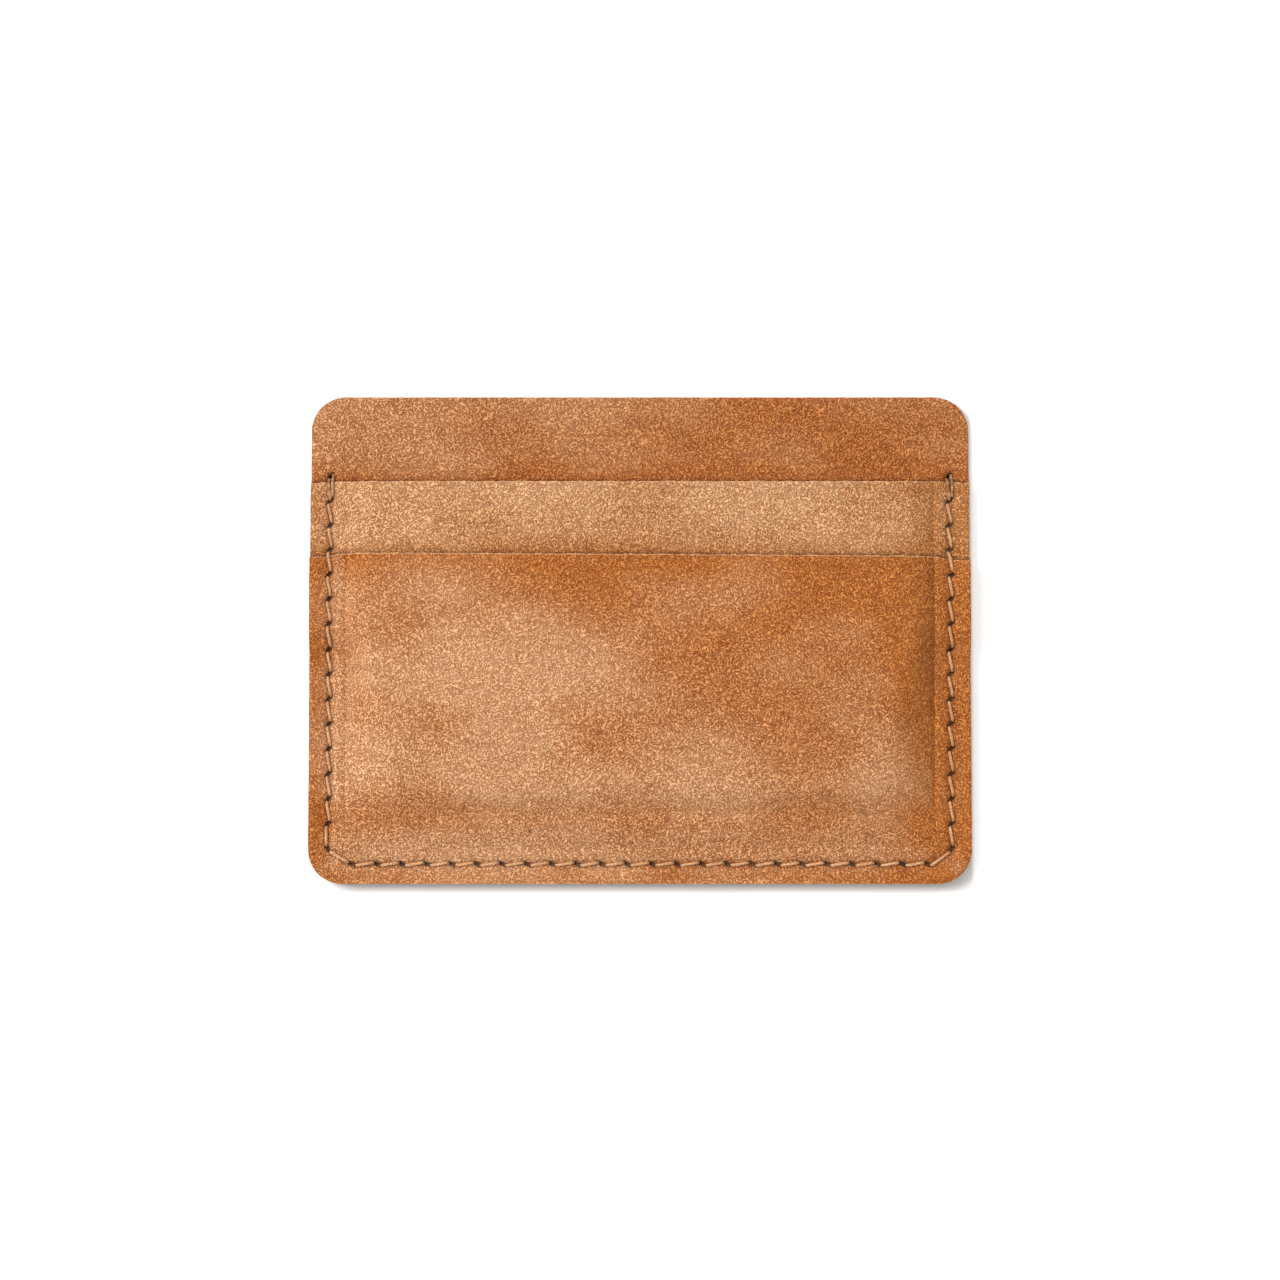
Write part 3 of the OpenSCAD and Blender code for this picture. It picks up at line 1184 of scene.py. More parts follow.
@dataclass
class FrontPocket(LeatherSheet):
    """The front pocket, swollen over the stem and ears behind it."""

    folds: tuple[Fold, ...] = (
        Fold((38.8, 3.4), (39.8, -9.5), 0.35, 0.1, 0.5),
        Fold((41.2, 1.0), (40.2, -13.0), 0.45, 0.06, 0.3),
        Fold((-5.0, 0.8), (-1.9, -13.4), 0.4, 0.05, 0.22),
        Fold((-38.6, 0.5), (-37.0, -8.5), 0.4, 0.06, 0.2),
    )

    def trim(self, blank: bpy.types.Object) -> None:
        """Rounds the two lower corners."""
        middle = (self.plan.bottom + self.plan.front_mouth) / 2
        round_corners(blank, lambda co: co.y < middle, self.plan.corner_r)

    def slits(self) -> list[Hole]:
        """All holes of the perimeter seam below the mouth."""
        return [h for h in self.lie.seam.holes if h.y < self.plan.front_mouth]

    def under(self, x: Grid, y: Grid) -> Grid:
        """The formed underside."""
        return self.lie.front_under(x, y)

    def shift(self, x: Grid, y: Grid) -> tuple[Grid, Grid]:
        """The mouth runs a little downhill to the right and dips outside the creases.

        Args:
            x: positions across.
            y: positions up.

        Returns:
            The creep across and up, in millimetres.
        """
        p = self.plan
        near = np.clip((y - p.front_mouth + 8) / 8, 0, 1) ** 2
        outer = Ramp.SMOOTH.rise((np.abs(x) - p.inner_x - 0.3) / 3.0)
        return np.zeros(np.shape(x)), near * (-0.5 * outer - 0.28 * x / p.half_w)

    def wrinkle(self, x: Grid, y: Grid, fold: Fold) -> Grid:
        """How near each point lies to a fold, from 0 to 1.

        Args:
            x: positions across.
            y: positions up.
            fold: the wrinkle.

        Returns:
            The nearness.
        """
        run = np.array([fold.end[0] - fold.start[0], fold.end[1] - fold.start[1]])
        length = float(np.hypot(*run))
        t = ((x - fold.start[0]) * run[0] + (y - fold.start[1]) * run[1]) / length ** 2
        side = ((x - fold.start[0]) * run[1] - (y - fold.start[1]) * run[0]) / length
        bow = side - 0.25 * np.sin(np.clip(t, 0, 1) * 2.6)
        ends = np.clip(t * 4, 0, 1) * np.clip((1 - t) * 4, 0, 1)
        return np.exp(-(bow / fold.half_w) ** 2) * ends

    def relief(self, x: Grid, y: Grid) -> Grid:
        """The drawn-in seam, the crease, the print of the stem's edge and a few wrinkles.

        Args:
            x: positions across.
            y: positions up.

        Returns:
            Heights to add, in millimetres.
        """
        p = self.plan
        total = super().relief(x, y) + self.lie.crease(x)
        stem_edge = np.abs(x) - self.lie.stem_half(y)
        below = Ramp.SMOOTH.rise((p.ear_y - y) / 6) * Ramp.SMOOTH.rise((y - p.stem_y) / 2)
        total += 0.07 * below * np.exp(-(stem_edge / 0.7) ** 2)
        base = np.exp(-((y - p.stem_y) / 0.45) ** 2) * Ramp.SMOOTH.rise((p.stem_half_base - np.abs(x)) / 3)
        total -= 0.07 * base
        for fold in self.folds:
            total -= fold.depth * self.wrinkle(x, y, fold)
        return total

    def wear_and_painted_shade(self, x: Grid, y: Grid) -> Grid:
        """Painted shade up and to the right, below the mouth, in its top right corner, along the stem's
        base, in the right crease and on the right margin; darker in the folds and on the margins.

        Args:
            x: positions across.
            y: positions up.

        Returns:
            How dark the face is painted, 0 for its own colour.
        """
        p = self.plan
        # Painted shade: the slow gradient, side, lip, corner, base, crease and right margin stand for
        # light falling off to the right and slopes turned from it.
        slow = np.clip(0.36 + 0.005 * x + 0.019 * (y + 8), 0, 0.85)
        side = 0.6 * Ramp.SMOOTH.rise((x - p.inner_x + 11) / 10)
        lip = 0.3 * np.exp(-((p.front_mouth - y) / 4) ** 2)
        corner = 0.5 * np.exp(-((x - p.inner_x) / 6) ** 2 - ((y - p.front_mouth) / 7) ** 2)
        edge = 0.65 * Ramp.SMOOTH.rise(1.3 - self.outline_distance(x, y) / p.seam_inset)
        base = 0.3 * np.exp(-((y - p.stem_y) / 3.2) ** 2)
        crease = 0.6 * np.exp(-((x - p.inner_x) / 0.4) ** 2)
        marks = sum(fold.stain * self.wrinkle(x, y, fold) for fold in self.folds)
        inner = np.abs(x) < p.inner_x
        right_margin_shade = 0.35 * ((x > p.inner_x) & (x < p.seam_x))
        wear_and_shade = np.where(inner, slow + lip, 0.8 * slow) + side * inner + 0.45 * (x > p.inner_x)
        return wear_and_shade + corner + edge + base + marks + crease + right_margin_shade

    def outline_distance(self, x: Grid, y: Grid) -> Grid:
        """Distance from the sides and the foot."""
        p = self.plan
        return np.minimum(p.half_w - np.abs(x), y - p.bottom)


# ---------------------------------------------------------------- thread


@dataclass
class SewnThread:
    """One waxed thread of three plies along its whole saddle-stitched route."""

    plan: Plan
    lie: Lie
    row: StitchRow
    name: str
    node: str
    surface: Callable[[Grid, Grid], Grid]
    ply_r: float = 0.145
    lay_r: float = 0.125
    twist: float = 1.6
    rear_z: float = 0.3
    sink: float = 0.5
    proud: float = 0.18
    climb: float = 0.55
    start_z: float = 0.75
    tail: float = 2.4
    end_darkening: float = 0.8
    side_darkening: float = 0.22

    def front_run(self, a: Point, b: Point) -> list[list[float]]:
        """A stitch on the face: out of one slit, taut over the leather and into the next.

        Args:
            a: where the thread comes up.
            b: where it goes down.

        Returns:
            Points along the stitch.
        """
        count = max(12, int(math.dist(a, b) / 0.1))
        t = np.linspace(0, 1, count)
        x, y = a[0] + (b[0] - a[0]) * t, a[1] + (b[1] - a[1]) * t
        z = self.surface(x, y)
        reach = 3
        padded = np.pad(z, reach, mode="edge")
        high = np.max([padded[i:i + count] for i in range(2 * reach + 1)], axis=0)
        soft = np.pad(high, reach, mode="edge")
        taut = np.mean([soft[i:i + count] for i in range(2 * reach + 1)], axis=0)
        span = np.minimum(t, 1 - t) * math.dist(a, b)
        lift = -self.sink + (self.sink + self.proud) * Ramp.STEEP_START.rise(span / self.climb)
        return np.column_stack([x, y, taut + lift]).tolist()

    def rear_run(self, a: Point, b: Point) -> list[list[float]]:
        """A stitch on the rear, sunk in its groove."""
        return [[a[0], a[1], self.rear_z], [b[0], b[1], self.rear_z]]

    def route(self) -> Grid:
        """The thread's whole centre line.

        Returns:
            Rounded points, evenly spaced.
        """
        ends = [self.row.holes[i].end(which) for i, which in self.row.passes]
        points: list[list[float]] = [[*ends[0], self.start_z]]
        for j, (a, b) in enumerate(zip(ends, ends[1:])):
            points += self.front_run(a, b) if j % 2 == 0 else self.rear_run(a, b)
        hole, which = self.row.passes[-1]
        way = math.radians(self.row.holes[hole].travel) + (math.pi if which.value > 0 else 0)
        x, y = ends[-1]
        points.append([x, y, self.rear_z])
        points.append([x + self.tail * math.cos(way), y + self.tail * math.sin(way), self.rear_z])
        return self.evened(np.array(points))

    @staticmethod
    def evened(points: Grid) -> Grid:
        """Rounds the bends of a line and spaces its points evenly.

        Args:
            points: the line, with sharp bends.

        Returns:
            The rounded line.
        """
        step = 0.22
        for _ in range(2):
            gap = np.linalg.norm(np.diff(points, axis=0), axis=1)
            points = points[np.r_[True, gap > 1e-6]]
            far = np.r_[0, np.cumsum(np.linalg.norm(np.diff(points, axis=0), axis=1))]
            spots = np.linspace(0, far[-1], int(far[-1] / 0.11))
            points = np.column_stack([np.interp(spots, far, points[:, k]) for k in range(3)])
            middle = (points[:-2] + 2 * points[1:-1] + points[2:]) / 4
            points = np.vstack([points[:1], middle, points[-1:]])
        far = np.r_[0, np.cumsum(np.linalg.norm(np.diff(points, axis=0), axis=1))]
        spots = np.linspace(0, far[-1], int(far[-1] / step))
        return np.column_stack([np.interp(spots, far, points[:, k]) for k in range(3)])

    def plies(self, line: Grid) -> list[Grid]:
        """Three lines wound round the centre line.

        Args:
            line: the centre line.

        Returns:
            The plies' own centre lines.
        """
        way = np.gradient(line, axis=0)
        way /= np.linalg.norm(way, axis=1)[:, None]
        side = np.empty_like(line)
        u = np.cross(way[0], [0.3, 0.5, 0.8])
        for i, w in enumerate(way):
            u = u - w * (u @ w)
            u /= np.linalg.norm(u)
            side[i] = u
        over = np.cross(way, side)
        far = np.r_[0, np.cumsum(np.linalg.norm(np.diff(line, axis=0), axis=1))]
        turn = -2 * math.pi * far / self.twist
        return [line + self.lay_r * (np.cos(turn + k)[:, None] * side + np.sin(turn + k)[:, None] * over)
                for k in (0, 2 * math.pi / 3, 4 * math.pi / 3)]

    def build(self) -> bpy.types.Object:
        """Winds the plies as curves, turns them into meshes and joins them.

        Returns:
            The finished thread, in metres.
        """
        parts = []
        line = self.route()
        for ply in self.plies(line):
            curve = bpy.data.curves.new(self.name, "CURVE")
            curve.dimensions = "3D"
            curve.bevel_depth = self.ply_r
            curve.bevel_resolution = 1
            curve.use_fill_caps = True
            spline = curve.splines.new("POLY")
            spline.points.add(len(ply) - 1)
            spline.points.foreach_set("co", np.column_stack([ply, np.ones(len(ply))]).ravel())
            obj = bpy.data.objects.new(self.name, curve)
            bpy.context.collection.objects.link(obj)
            parts.append(obj)
        Bench.pick(*parts)
        bpy.ops.object.convert(target="MESH")
        bpy.ops.object.join()
        thread = bpy.context.object
        thread.name = thread.data.name = self.name
        co = Bench.points(thread)
        x, y, z = co.T
        # Painted shade where the thread sinks below the face; the ends and side runs are simply made
        # darker.
        sunk = np.clip((self.surface(x, y) - z) / 0.4, 0, 1)
        ends = self.end_darkening * np.clip(1.6 - np.abs(y - self.row.holes[0].y) / 3.6, 0, 1)
        sides = self.side_darkening * Ramp.SMOOTH.rise((np.abs(x) - self.plan.inner_x) / 1.5)
        Bench.paint(thread, "dark_tone", np.maximum(ends, sides))
        Bench.paint(thread, "sunk", np.where(z > self.plan.back_t, sunk, 0))
        Bench.to_metres(thread)
        Bench.pick(thread)
        bpy.ops.object.shade_smooth()
        return thread


# ---------------------------------------------------------------- cement films


@dataclass
class CementFilm(LeatherSheet):
    """A thin film of dried cement, a hair inside the cut edges."""

    rim_steps: tuple[float, ...] = (0.1,)
    cell: float = 1.0
    fine_cell: float = 0.6
    window: tuple[Point, Point] | None = None
    bed: Callable[[Grid, Grid], Grid] | None = None
    lift: Callable[[Grid, Grid], Grid] | None = None
    follow: Callable[[Grid, Grid], tuple[Grid, Grid]] | None = None
    corner: bool = False

    def trim(self, blank: bpy.types.Object) -> None:
        """Rounds the lower corners and cuts out the window between the margins.

        Args:
            blank: the flat blank, in edit mode.
        """
        if self.corner:
            middle = (self.low[1] + self.high[1]) / 2
            round_corners(blank, lambda co: co.y < middle, self.plan.corner_r)
        if self.window is None:
            return
        (x0, y0), (x1, y1) = self.window
        Bench.cut_lines([x0, x1], Vector((1, 0, 0)))
        Bench.cut_lines([y0], Vector((0, 1, 0)))
        Bench.select_faces(blank, lambda co: x0 < co.x < x1 and y0 < co.y < y1)
        bpy.ops.mesh.delete(type="FACE")

    def shift(self, x: Grid, y: Grid) -> tuple[Grid, Grid]:
        """The film moves with the panel that it holds."""
        return self.follow(x, y) if self.follow else super().shift(x, y)

    def under(self, x: Grid, y: Grid) -> Grid:
        """The film lies on its bed."""
        return self.bed(x, y)

    def relief(self, x: Grid, y: Grid) -> Grid:
        """The film fills all the space below what lies on it."""
        return self.lift(x, y) - self.bed(x, y) - self.thickness


# ---------------------------------------------------------------- materials


class Nodes:
    """Short calls for building a node tree."""

    def __init__(self, tree: bpy.types.NodeTree) -> None:
        """Keeps the tree.

        Args:
            tree: the node tree to build in.
        """
        self.tree = tree

    def add(self, kind: str, inputs: dict[str | int, object] | None = None,
            **settings: object) -> bpy.types.Node:
        """Adds a node, sets its properties and fills or links its inputs.

        Args:
            kind: the node's type name.
            inputs: values, or sockets to link, by input name or number.
            **settings: the node's own properties.

        Returns:
            The new node.
        """
        node = self.tree.nodes.new(kind)
        for key, value in settings.items():
            setattr(node, key, value)
        for key, value in (inputs or {}).items():
            if isinstance(value, bpy.types.NodeSocket):
                self.tree.links.new(value, node.inputs[key])
            else:
                node.inputs[key].default_value = value
        return node

    def math(self, operation: str, a: object, b: object = 0.0,
             clamp: bool = False) -> bpy.types.NodeSocket:
        """One sum, product or other operation on two numbers."""
        return self.add("ShaderNodeMath", {0: a, 1: b}, operation=operation, use_clamp=clamp).outputs[0]

    def vector(self, operation: str, a: object, b: object = (0, 0, 0)) -> bpy.types.NodeSocket:
        """One operation on two vectors."""
        return self.add("ShaderNodeVectorMath", {0: a, 1: b}, operation=operation).outputs[0]

    def scaled(self, a: object, factor: object) -> bpy.types.NodeSocket:
        """A vector times a number."""
        return self.add("ShaderNodeVectorMath", {0: a, "Scale": factor}, operation="SCALE").outputs[0]

    def span(self, value: object, low: float, high: float,
             out: Point = (0.0, 1.0)) -> bpy.types.NodeSocket:
        """Maps a stretch of values smoothly on to another and stops at its ends."""
        return self.add("ShaderNodeMapRange", {"Value": value, "From Min": low, "From Max": high,
                                               "To Min": out[0], "To Max": out[1]},
                        interpolation_type="SMOOTHSTEP").outputs[0]

    def mix(self, factor: object, a: object, b: object, blend: str = "MIX") -> bpy.types.NodeSocket:
        """Mixes two colours.

        Args:
            factor: the second colour's share.
            a: the first colour.
            b: the second colour.
            blend: how they are blended.

        Returns:
            The mix's socket.
        """
        node = self.add("ShaderNodeMix", data_type="RGBA", blend_type=blend)
        for index, value in ((0, factor), (6, a), (7, b)):
            if isinstance(value, bpy.types.NodeSocket):
                self.tree.links.new(value, node.inputs[index])
            else:
                node.inputs[index].default_value = value
        return node.outputs[2]

    def attribute(self, name: str) -> bpy.types.NodeSocket:
        """A number painted on the vertices."""
        return self.add("ShaderNodeAttribute", attribute_name=name).outputs["Fac"]

    def millimetres(self) -> bpy.types.NodeSocket:
        """The place on the object, in millimetres."""
        return self.scaled(self.add("ShaderNodeTexCoord").outputs["Object"], 1 / MM)

    def bent(self, place: object, scale: float, detail: float, amount: float) -> bpy.types.NodeSocket:
        """Bends a place to and fro by a noise.

        Args:
            place: the place to bend.
            scale: how fine the bends are.
            detail: the noise's detail.
            amount: how far the place may move.

        Returns:
            The bent place.
        """
        swirl = self.noise(place, scale, detail).outputs["Color"]
        sway = self.vector("SUBTRACT", swirl, (0.5, 0.5, 0.5))
        return self.vector("ADD", place, self.scaled(sway, amount))

    def noise(self, where: object, scale: object, detail: float = 2.0,
              rough: float = 0.5) -> bpy.types.Node:
        """A noise texture."""
        return self.add("ShaderNodeTexNoise", {"Vector": where, "Scale": scale, "Detail": detail,
                                               "Roughness": rough})


def new_material(name: str) -> tuple[bpy.types.Material, Nodes, bpy.types.Node]:
    """Starts a material.

    Args:
        name: the material's name.

    Returns:
        The material, the builder of its node tree and its Principled shader.
    """
    material = bpy.data.materials.new(name)
    material.use_nodes = True
    return material, Nodes(material.node_tree), material.node_tree.nodes["Principled BSDF"]


def new_group(name: str, inputs: dict[str, tuple[str, object]],
              outputs: dict[str, str]) -> bpy.types.NodeTree:
    """Starts a shader node group with named sockets.

    Args:
        name: the group's name.
        inputs: socket kind and default value by name.
        outputs: socket kind by name.

    Returns:
        The group's tree, holding only its input and output nodes.
    """
    tree = bpy.data.node_groups.new(name, "ShaderNodeTree")
    for label, (kind, value) in inputs.items():
        socket = tree.interface.new_socket(label, in_out="INPUT", socket_type=kind)
        if kind != "NodeSocketVector":
            socket.default_value = value
    for label, kind in outputs.items():
        tree.interface.new_socket(label, in_out="OUTPUT", socket_type=kind)
    tree.nodes.new("NodeGroupInput")
    tree.nodes.new("NodeGroupOutput")
    return tree


def ends_of(tree: bpy.types.NodeTree) -> tuple[bpy.types.Node, bpy.types.Node]:
    """The group's input and output nodes."""
    return tree.nodes["Group Input"], tree.nodes["Group Output"]


NAP_ANGLES = (0.3, 1.1, 1.9, 2.7)
NAP_STRETCH = 2.2


def scuffed_grain() -> bpy.types.NodeTree:
    """A dense nap of short strokes lying every way, with longer pale fibres scuffed up from it.

    Returns:
        The group.
    """
    tree = new_group("Scuffed grain", {
        "Vector": ("NodeSocketVector", None),
        "Fibre Size": ("NodeSocketFloat", 0.6),
        "Width": ("NodeSocketFloat", 0.08),
        "Grain Size": ("NodeSocketFloat", 0.16),
    }, {"Fibres": "NodeSocketFloat", "Network": "NodeSocketFloat", "Grain": "NodeSocketFloat",
        "Height": "NodeSocketFloat"})
    g_in, g_out = ends_of(tree)
    n = Nodes(tree)
    place = n.scaled(g_in.outputs["Vector"], n.math("DIVIDE", 1.0, g_in.outputs["Fibre Size"]))
    bent = n.bent(place, 0.8, 1.0, 1.4)
    strokes = []
    for scale, offset, break_scale in ((1.0, 0.0, 1.3), (1.6, 31.0, 1.9)):
        moved = n.vector("ADD", bent, (offset, offset * 0.7, 0))
        level = n.noise(moved, scale, 0.0)
        off = n.math("ABSOLUTE", n.math("SUBTRACT", level.outputs["Fac"], 0.5))
        line = n.math("SUBTRACT", 1.0, n.math("DIVIDE", off, g_in.outputs["Width"]), clamp=True)
        gate = n.span(n.noise(moved, break_scale, 1.0).outputs["Fac"], 0.48, 0.58)
        strokes.append(n.math("MULTIPLY", line, gate))
    fibres = n.math("MAXIMUM", strokes[0], strokes[1])
    fine = n.scaled(g_in.outputs["Vector"], n.math("DIVIDE", 1.0, g_in.outputs["Grain Size"]))
    fine = n.bent(fine, 0.3, 0.0, 2.0)
    naps = []
    for angle in NAP_ANGLES:
        turned = n.add("ShaderNodeMapping", {"Vector": fine, "Location": (9 * angle, 4 * angle, 0),
                                             "Rotation": (0, 0, angle), "Scale": (NAP_STRETCH, 1, 1)},
                       vector_type="TEXTURE").outputs[0]
        naps.append(n.math("SUBTRACT", n.noise(turned, 1.0, 0.0).outputs["Fac"], 0.5))
    level = 0.5
    for first, second, offset in ((0, 2, 0.0), (1, 3, 40.0)):
        turn = n.span(n.noise(n.vector("ADD", fine, (offset, 0, 0)), 0.09, 0.0).outputs["Fac"], 0.44, 0.56)
        swing = n.math("MULTIPLY", turn, n.math("SUBTRACT", naps[second], naps[first]))
        level = n.math("ADD", level, n.math("ADD", naps[first], swing))
    grain = n.span(level, 0.41, 0.59)
    height = n.math("ADD", n.math("MULTIPLY", fibres, 0.8), grain)
    network = n.span(level, 0.5, 0.68)
    for label, socket in (("Fibres", fibres), ("Network", network), ("Grain", grain), ("Height", height)):
        tree.links.new(socket, g_out.inputs[label])
    return tree


def blotches() -> bpy.types.NodeTree:
    """Slow changes of tone: wide slanting patches, and spots of a few millimetres.

    Returns:
        The group.
    """
    tree = new_group("Blotches", {
        "Vector": ("NodeSocketVector", None),
        "Patch Size": ("NodeSocketFloat", 14.0),
    }, {"Patches": "NodeSocketFloat", "Spots": "NodeSocketFloat"})
    g_in, g_out = ends_of(tree)
    n = Nodes(tree)
    turned = n.add("ShaderNodeMapping", {"Vector": g_in.outputs["Vector"], "Rotation": (0, 0, -0.5),
                                         "Scale": (0.6, 1.0, 1.0)}).outputs[0]
    place = n.scaled(turned, n.math("DIVIDE", 1.0, g_in.outputs["Patch Size"]))
    wide = n.noise(place, 1.0, 1.5, 0.45)
    small = n.noise(place, 7.0, 1.0, 0.5)
    tree.links.new(n.span(wide.outputs["Fac"], 0.3, 0.7), g_out.inputs["Patches"])
    tree.links.new(n.span(small.outputs["Fac"], 0.25, 0.75), g_out.inputs["Spots"])
    return tree


def raw_edge() -> bpy.types.NodeTree:
    """A frayed mask that follows a cut edge.

    Returns:
        The group.
    """
    tree = new_group("Raw edge", {
        "Vector": ("NodeSocketVector", None),
        "Edge": ("NodeSocketFloat", 0.0),
    }, {"Mask": "NodeSocketFloat", "Fray": "NodeSocketFloat"})
    g_in, g_out = ends_of(tree)
    n = Nodes(tree)
    fray = n.noise(g_in.outputs["Vector"], 3.4, 3.0, 0.7)
    uneven = n.math("MULTIPLY", n.math("SUBTRACT", fray.outputs["Fac"], 0.5), 0.9)
    ragged = n.math("ADD", g_in.outputs["Edge"], uneven)
    tree.links.new(n.span(ragged, 0.3, 0.85), g_out.inputs["Mask"])
    tree.links.new(fray.outputs["Fac"], g_out.inputs["Fray"])
    return tree


def srgb(red: int, green: int, blue: int) -> Colour:
    """A display colour, from 0 to 255, as linear light.

    Args:
        red: the red channel.
        green: the green channel.
        blue: the blue channel.

    Returns:
        The colour, opaque.
    """
    def linear(v: int) -> float:
        """One channel."""
        c = v / 255
        return c / 12.92 if c <= 0.04045 else ((c + 0.055) / 1.055) ** 2.4
    return linear(red), linear(green), linear(blue), 1.0


@dataclass(frozen=True)
class Speck:
    """A small dark mark on the face, in millimetres."""

    x: float
    y: float
    radius: float
    strength: float


@dataclass(frozen=True)
class LeatherFinish:
    """Matte vegetable-tanned leather with a scuffed, fibrous face."""

    name: str
    deep: Colour
    body: Colour
    pale: Colour
    edge: Colour
    wear_and_shade_tint: Colour
    fibre_share: float = 0.5
    grain_share: float = 1.0
    patch_share: float = 0.4
    offset: Place = (0, 0, 0)
    specks: tuple[Speck, ...] = ()
    patch_pale: float = 0.35
    spot_share: float = 0.14
    network_share: float = 0.7
    uneven_share: float = 0.7
    seam_share: float = 0.45
    painted_shade_colour: Colour = srgb(34, 12, 4)
    stain: Colour = srgb(88, 48, 24)
    roughness: float = 0.84
    grain_smooth: float = 0.16
    fray_height: float = 1.5
    bump_height: float = 0.00013
    specular: float = 0.14
    sheen: float = 0.02

    def blemishes(self, n: Nodes, place: bpy.types.NodeSocket) -> bpy.types.NodeSocket:
        """Mask of the specks.

        Args:
            n: the material's node builder.
            place: the place on the panel, in millimetres.

        Returns:
            The mask's socket.
        """
        total: object = 0.0
        for speck in self.specks:
            away = n.vector("MULTIPLY", n.vector("SUBTRACT", place, (speck.x, speck.y, 0)), (1, 1, 0))
            length = n.add("ShaderNodeVectorMath", {0: away}, operation="LENGTH").outputs["Value"]
            mask = n.span(length, speck.radius * 0.3, speck.radius, (speck.strength, 0.0))
            total = n.math("MAXIMUM", total, mask)
        return total

    def material(self, groups: dict[str, bpy.types.NodeTree]) -> bpy.types.Material:
        """Builds the material.

        Args:
            groups: the shared node groups by name.

        Returns:
            The finished material.
        """
        material, n, shader = new_material(self.name)
        link = material.node_tree.links.new
        real = n.millimetres()
        place = n.vector("ADD", real, self.offset)
        grain = n.add("ShaderNodeGroup", node_tree=groups["grain"])
        tone = n.add("ShaderNodeGroup", node_tree=groups["blotches"])
        edge = n.add("ShaderNodeGroup", node_tree=groups["edge"])
        for group in (grain, tone, edge):
            link(place, group.inputs["Vector"])
        cut = n.attribute("raw_edge")
        wear_and_painted_shade = n.attribute("wear_and_painted_shade")
        seam = n.attribute("seam")
        link(cut, edge.inputs["Edge"])
        base = n.mix(n.math("MULTIPLY", grain.outputs["Grain"], self.grain_share), self.deep, self.body)
        patched = n.mix(n.math("MULTIPLY", tone.outputs["Patches"], self.patch_share), base,
                        n.mix(self.patch_pale, base, self.pale))
        spotted = n.mix(n.math("MULTIPLY", tone.outputs["Spots"], self.spot_share), patched, self.pale)
        laced = n.mix(n.math("MULTIPLY", grain.outputs["Network"], self.network_share), spotted, self.pale)
        struck = n.mix(n.math("MULTIPLY", grain.outputs["Fibres"], self.fibre_share), laced, self.pale)
        uneven = n.math("MULTIPLY", n.math("SUBTRACT", 0.5, tone.outputs["Patches"]), self.uneven_share)
        # The painted shade and wear, the random patches and the seam line darken the face towards a
        # deeper, more saturated tint.
        wear_and_shade = n.math("ADD", n.math("ADD", wear_and_painted_shade, uneven), n.math("MULTIPLY", seam, self.seam_share))
        wear_and_shade_tinted = n.mix(1.0, struck, self.wear_and_shade_tint, "MULTIPLY")
        worn_and_shaded = n.mix(n.math("MULTIPLY", wear_and_shade, 1.0, clamp=True), struck, wear_and_shade_tinted)
        frayed = n.mix(n.span(edge.outputs["Fray"], 0.3, 0.7), self.edge, self.pale)
        trimmed = n.mix(edge.outputs["Mask"], worn_and_shaded, frayed)
        # Painted shade in the slits and along the mouths, and darkening along each stitch.
        slit = n.attribute("slit")
        shaded_slits_and_gaps = n.mix(n.math("MULTIPLY", slit, 1.0, clamp=True), trimmed, self.painted_shade_colour)
        colour = n.mix(self.blemishes(n, real), shaded_slits_and_gaps, self.stain)
        smoother = n.math("MULTIPLY", grain.outputs["Grain"], self.grain_smooth)
        rough = n.math("SUBTRACT", self.roughness, smoother)
        frayed_height = n.math("MULTIPLY", edge.outputs["Fray"], n.math("MULTIPLY", cut, self.fray_height))
        height = n.math("ADD", grain.outputs["Height"], frayed_height)
        bump = n.add("ShaderNodeBump", {"Strength": 1.0, "Distance": self.bump_height, "Height": height})
        for label, socket in (("Base Color", colour), ("Roughness", rough), ("Normal", bump.outputs[0])):
            link(socket, shader.inputs[label])
        shader.inputs["Specular IOR Level"].default_value = self.specular
        shader.inputs["Sheen Weight"].default_value = self.sheen
        shader.inputs["Sheen Roughness"].default_value = 0.5
        return material


@dataclass(frozen=True)
class ThreadFinish:
    """Waxed thread: spun fibres under a thin film of wax, darker at the ends and on the side runs, with
    painted shade where it dives into the slits.
    """

    name: str
    body: Colour
    shade: Colour
    dark_tone: Colour
    deep: Colour

    def material(self, groups: dict[str, bpy.types.NodeTree]) -> bpy.types.Material:
        """Builds the material from the shared groups.

        Args:
            groups: the shared node groups by name.

        Returns:
            The finished material.
        """
        material, n, shader = new_material(self.name)
        place = n.millimetres()
        spun = n.noise(place, 5.0, 3.0, 0.65)
        tone = n.add("ShaderNodeGroup", node_tree=groups["blotches"])
        tone.inputs["Patch Size"].default_value = 5.0
        material.node_tree.links.new(place, tone.inputs["Vector"])
        dark_tone = n.attribute("dark_tone")
        clean = n.mix(n.span(spun.outputs["Fac"], 0.35, 0.65), self.shade, self.body)
        varied = n.mix(n.math("MULTIPLY", tone.outputs["Patches"], 0.35), clean, self.shade)
        sunk = n.attribute("sunk")
        darkened = n.math("MULTIPLY", dark_tone, n.span(tone.outputs["Spots"], 0.2, 0.7, (0.35, 1.0)))
        # Painted shade where the thread dives into the leather.
        colour = n.mix(n.span(sunk, 0.0, 0.8), n.mix(darkened, varied, self.dark_tone), self.deep)
        rough = n.span(spun.outputs["Fac"], 0.3, 0.7, (0.42, 0.62))
        bump = n.add("ShaderNodeBump", {"Strength": 0.5, "Distance": 0.00005,
                                        "Height": spun.outputs["Fac"]})
        for label, socket in (("Base Color", colour), ("Roughness", rough), ("Normal", bump.outputs[0])):
            material.node_tree.links.new(socket, shader.inputs[label])
        shader.inputs["Specular IOR Level"].default_value = 0.2
        return material


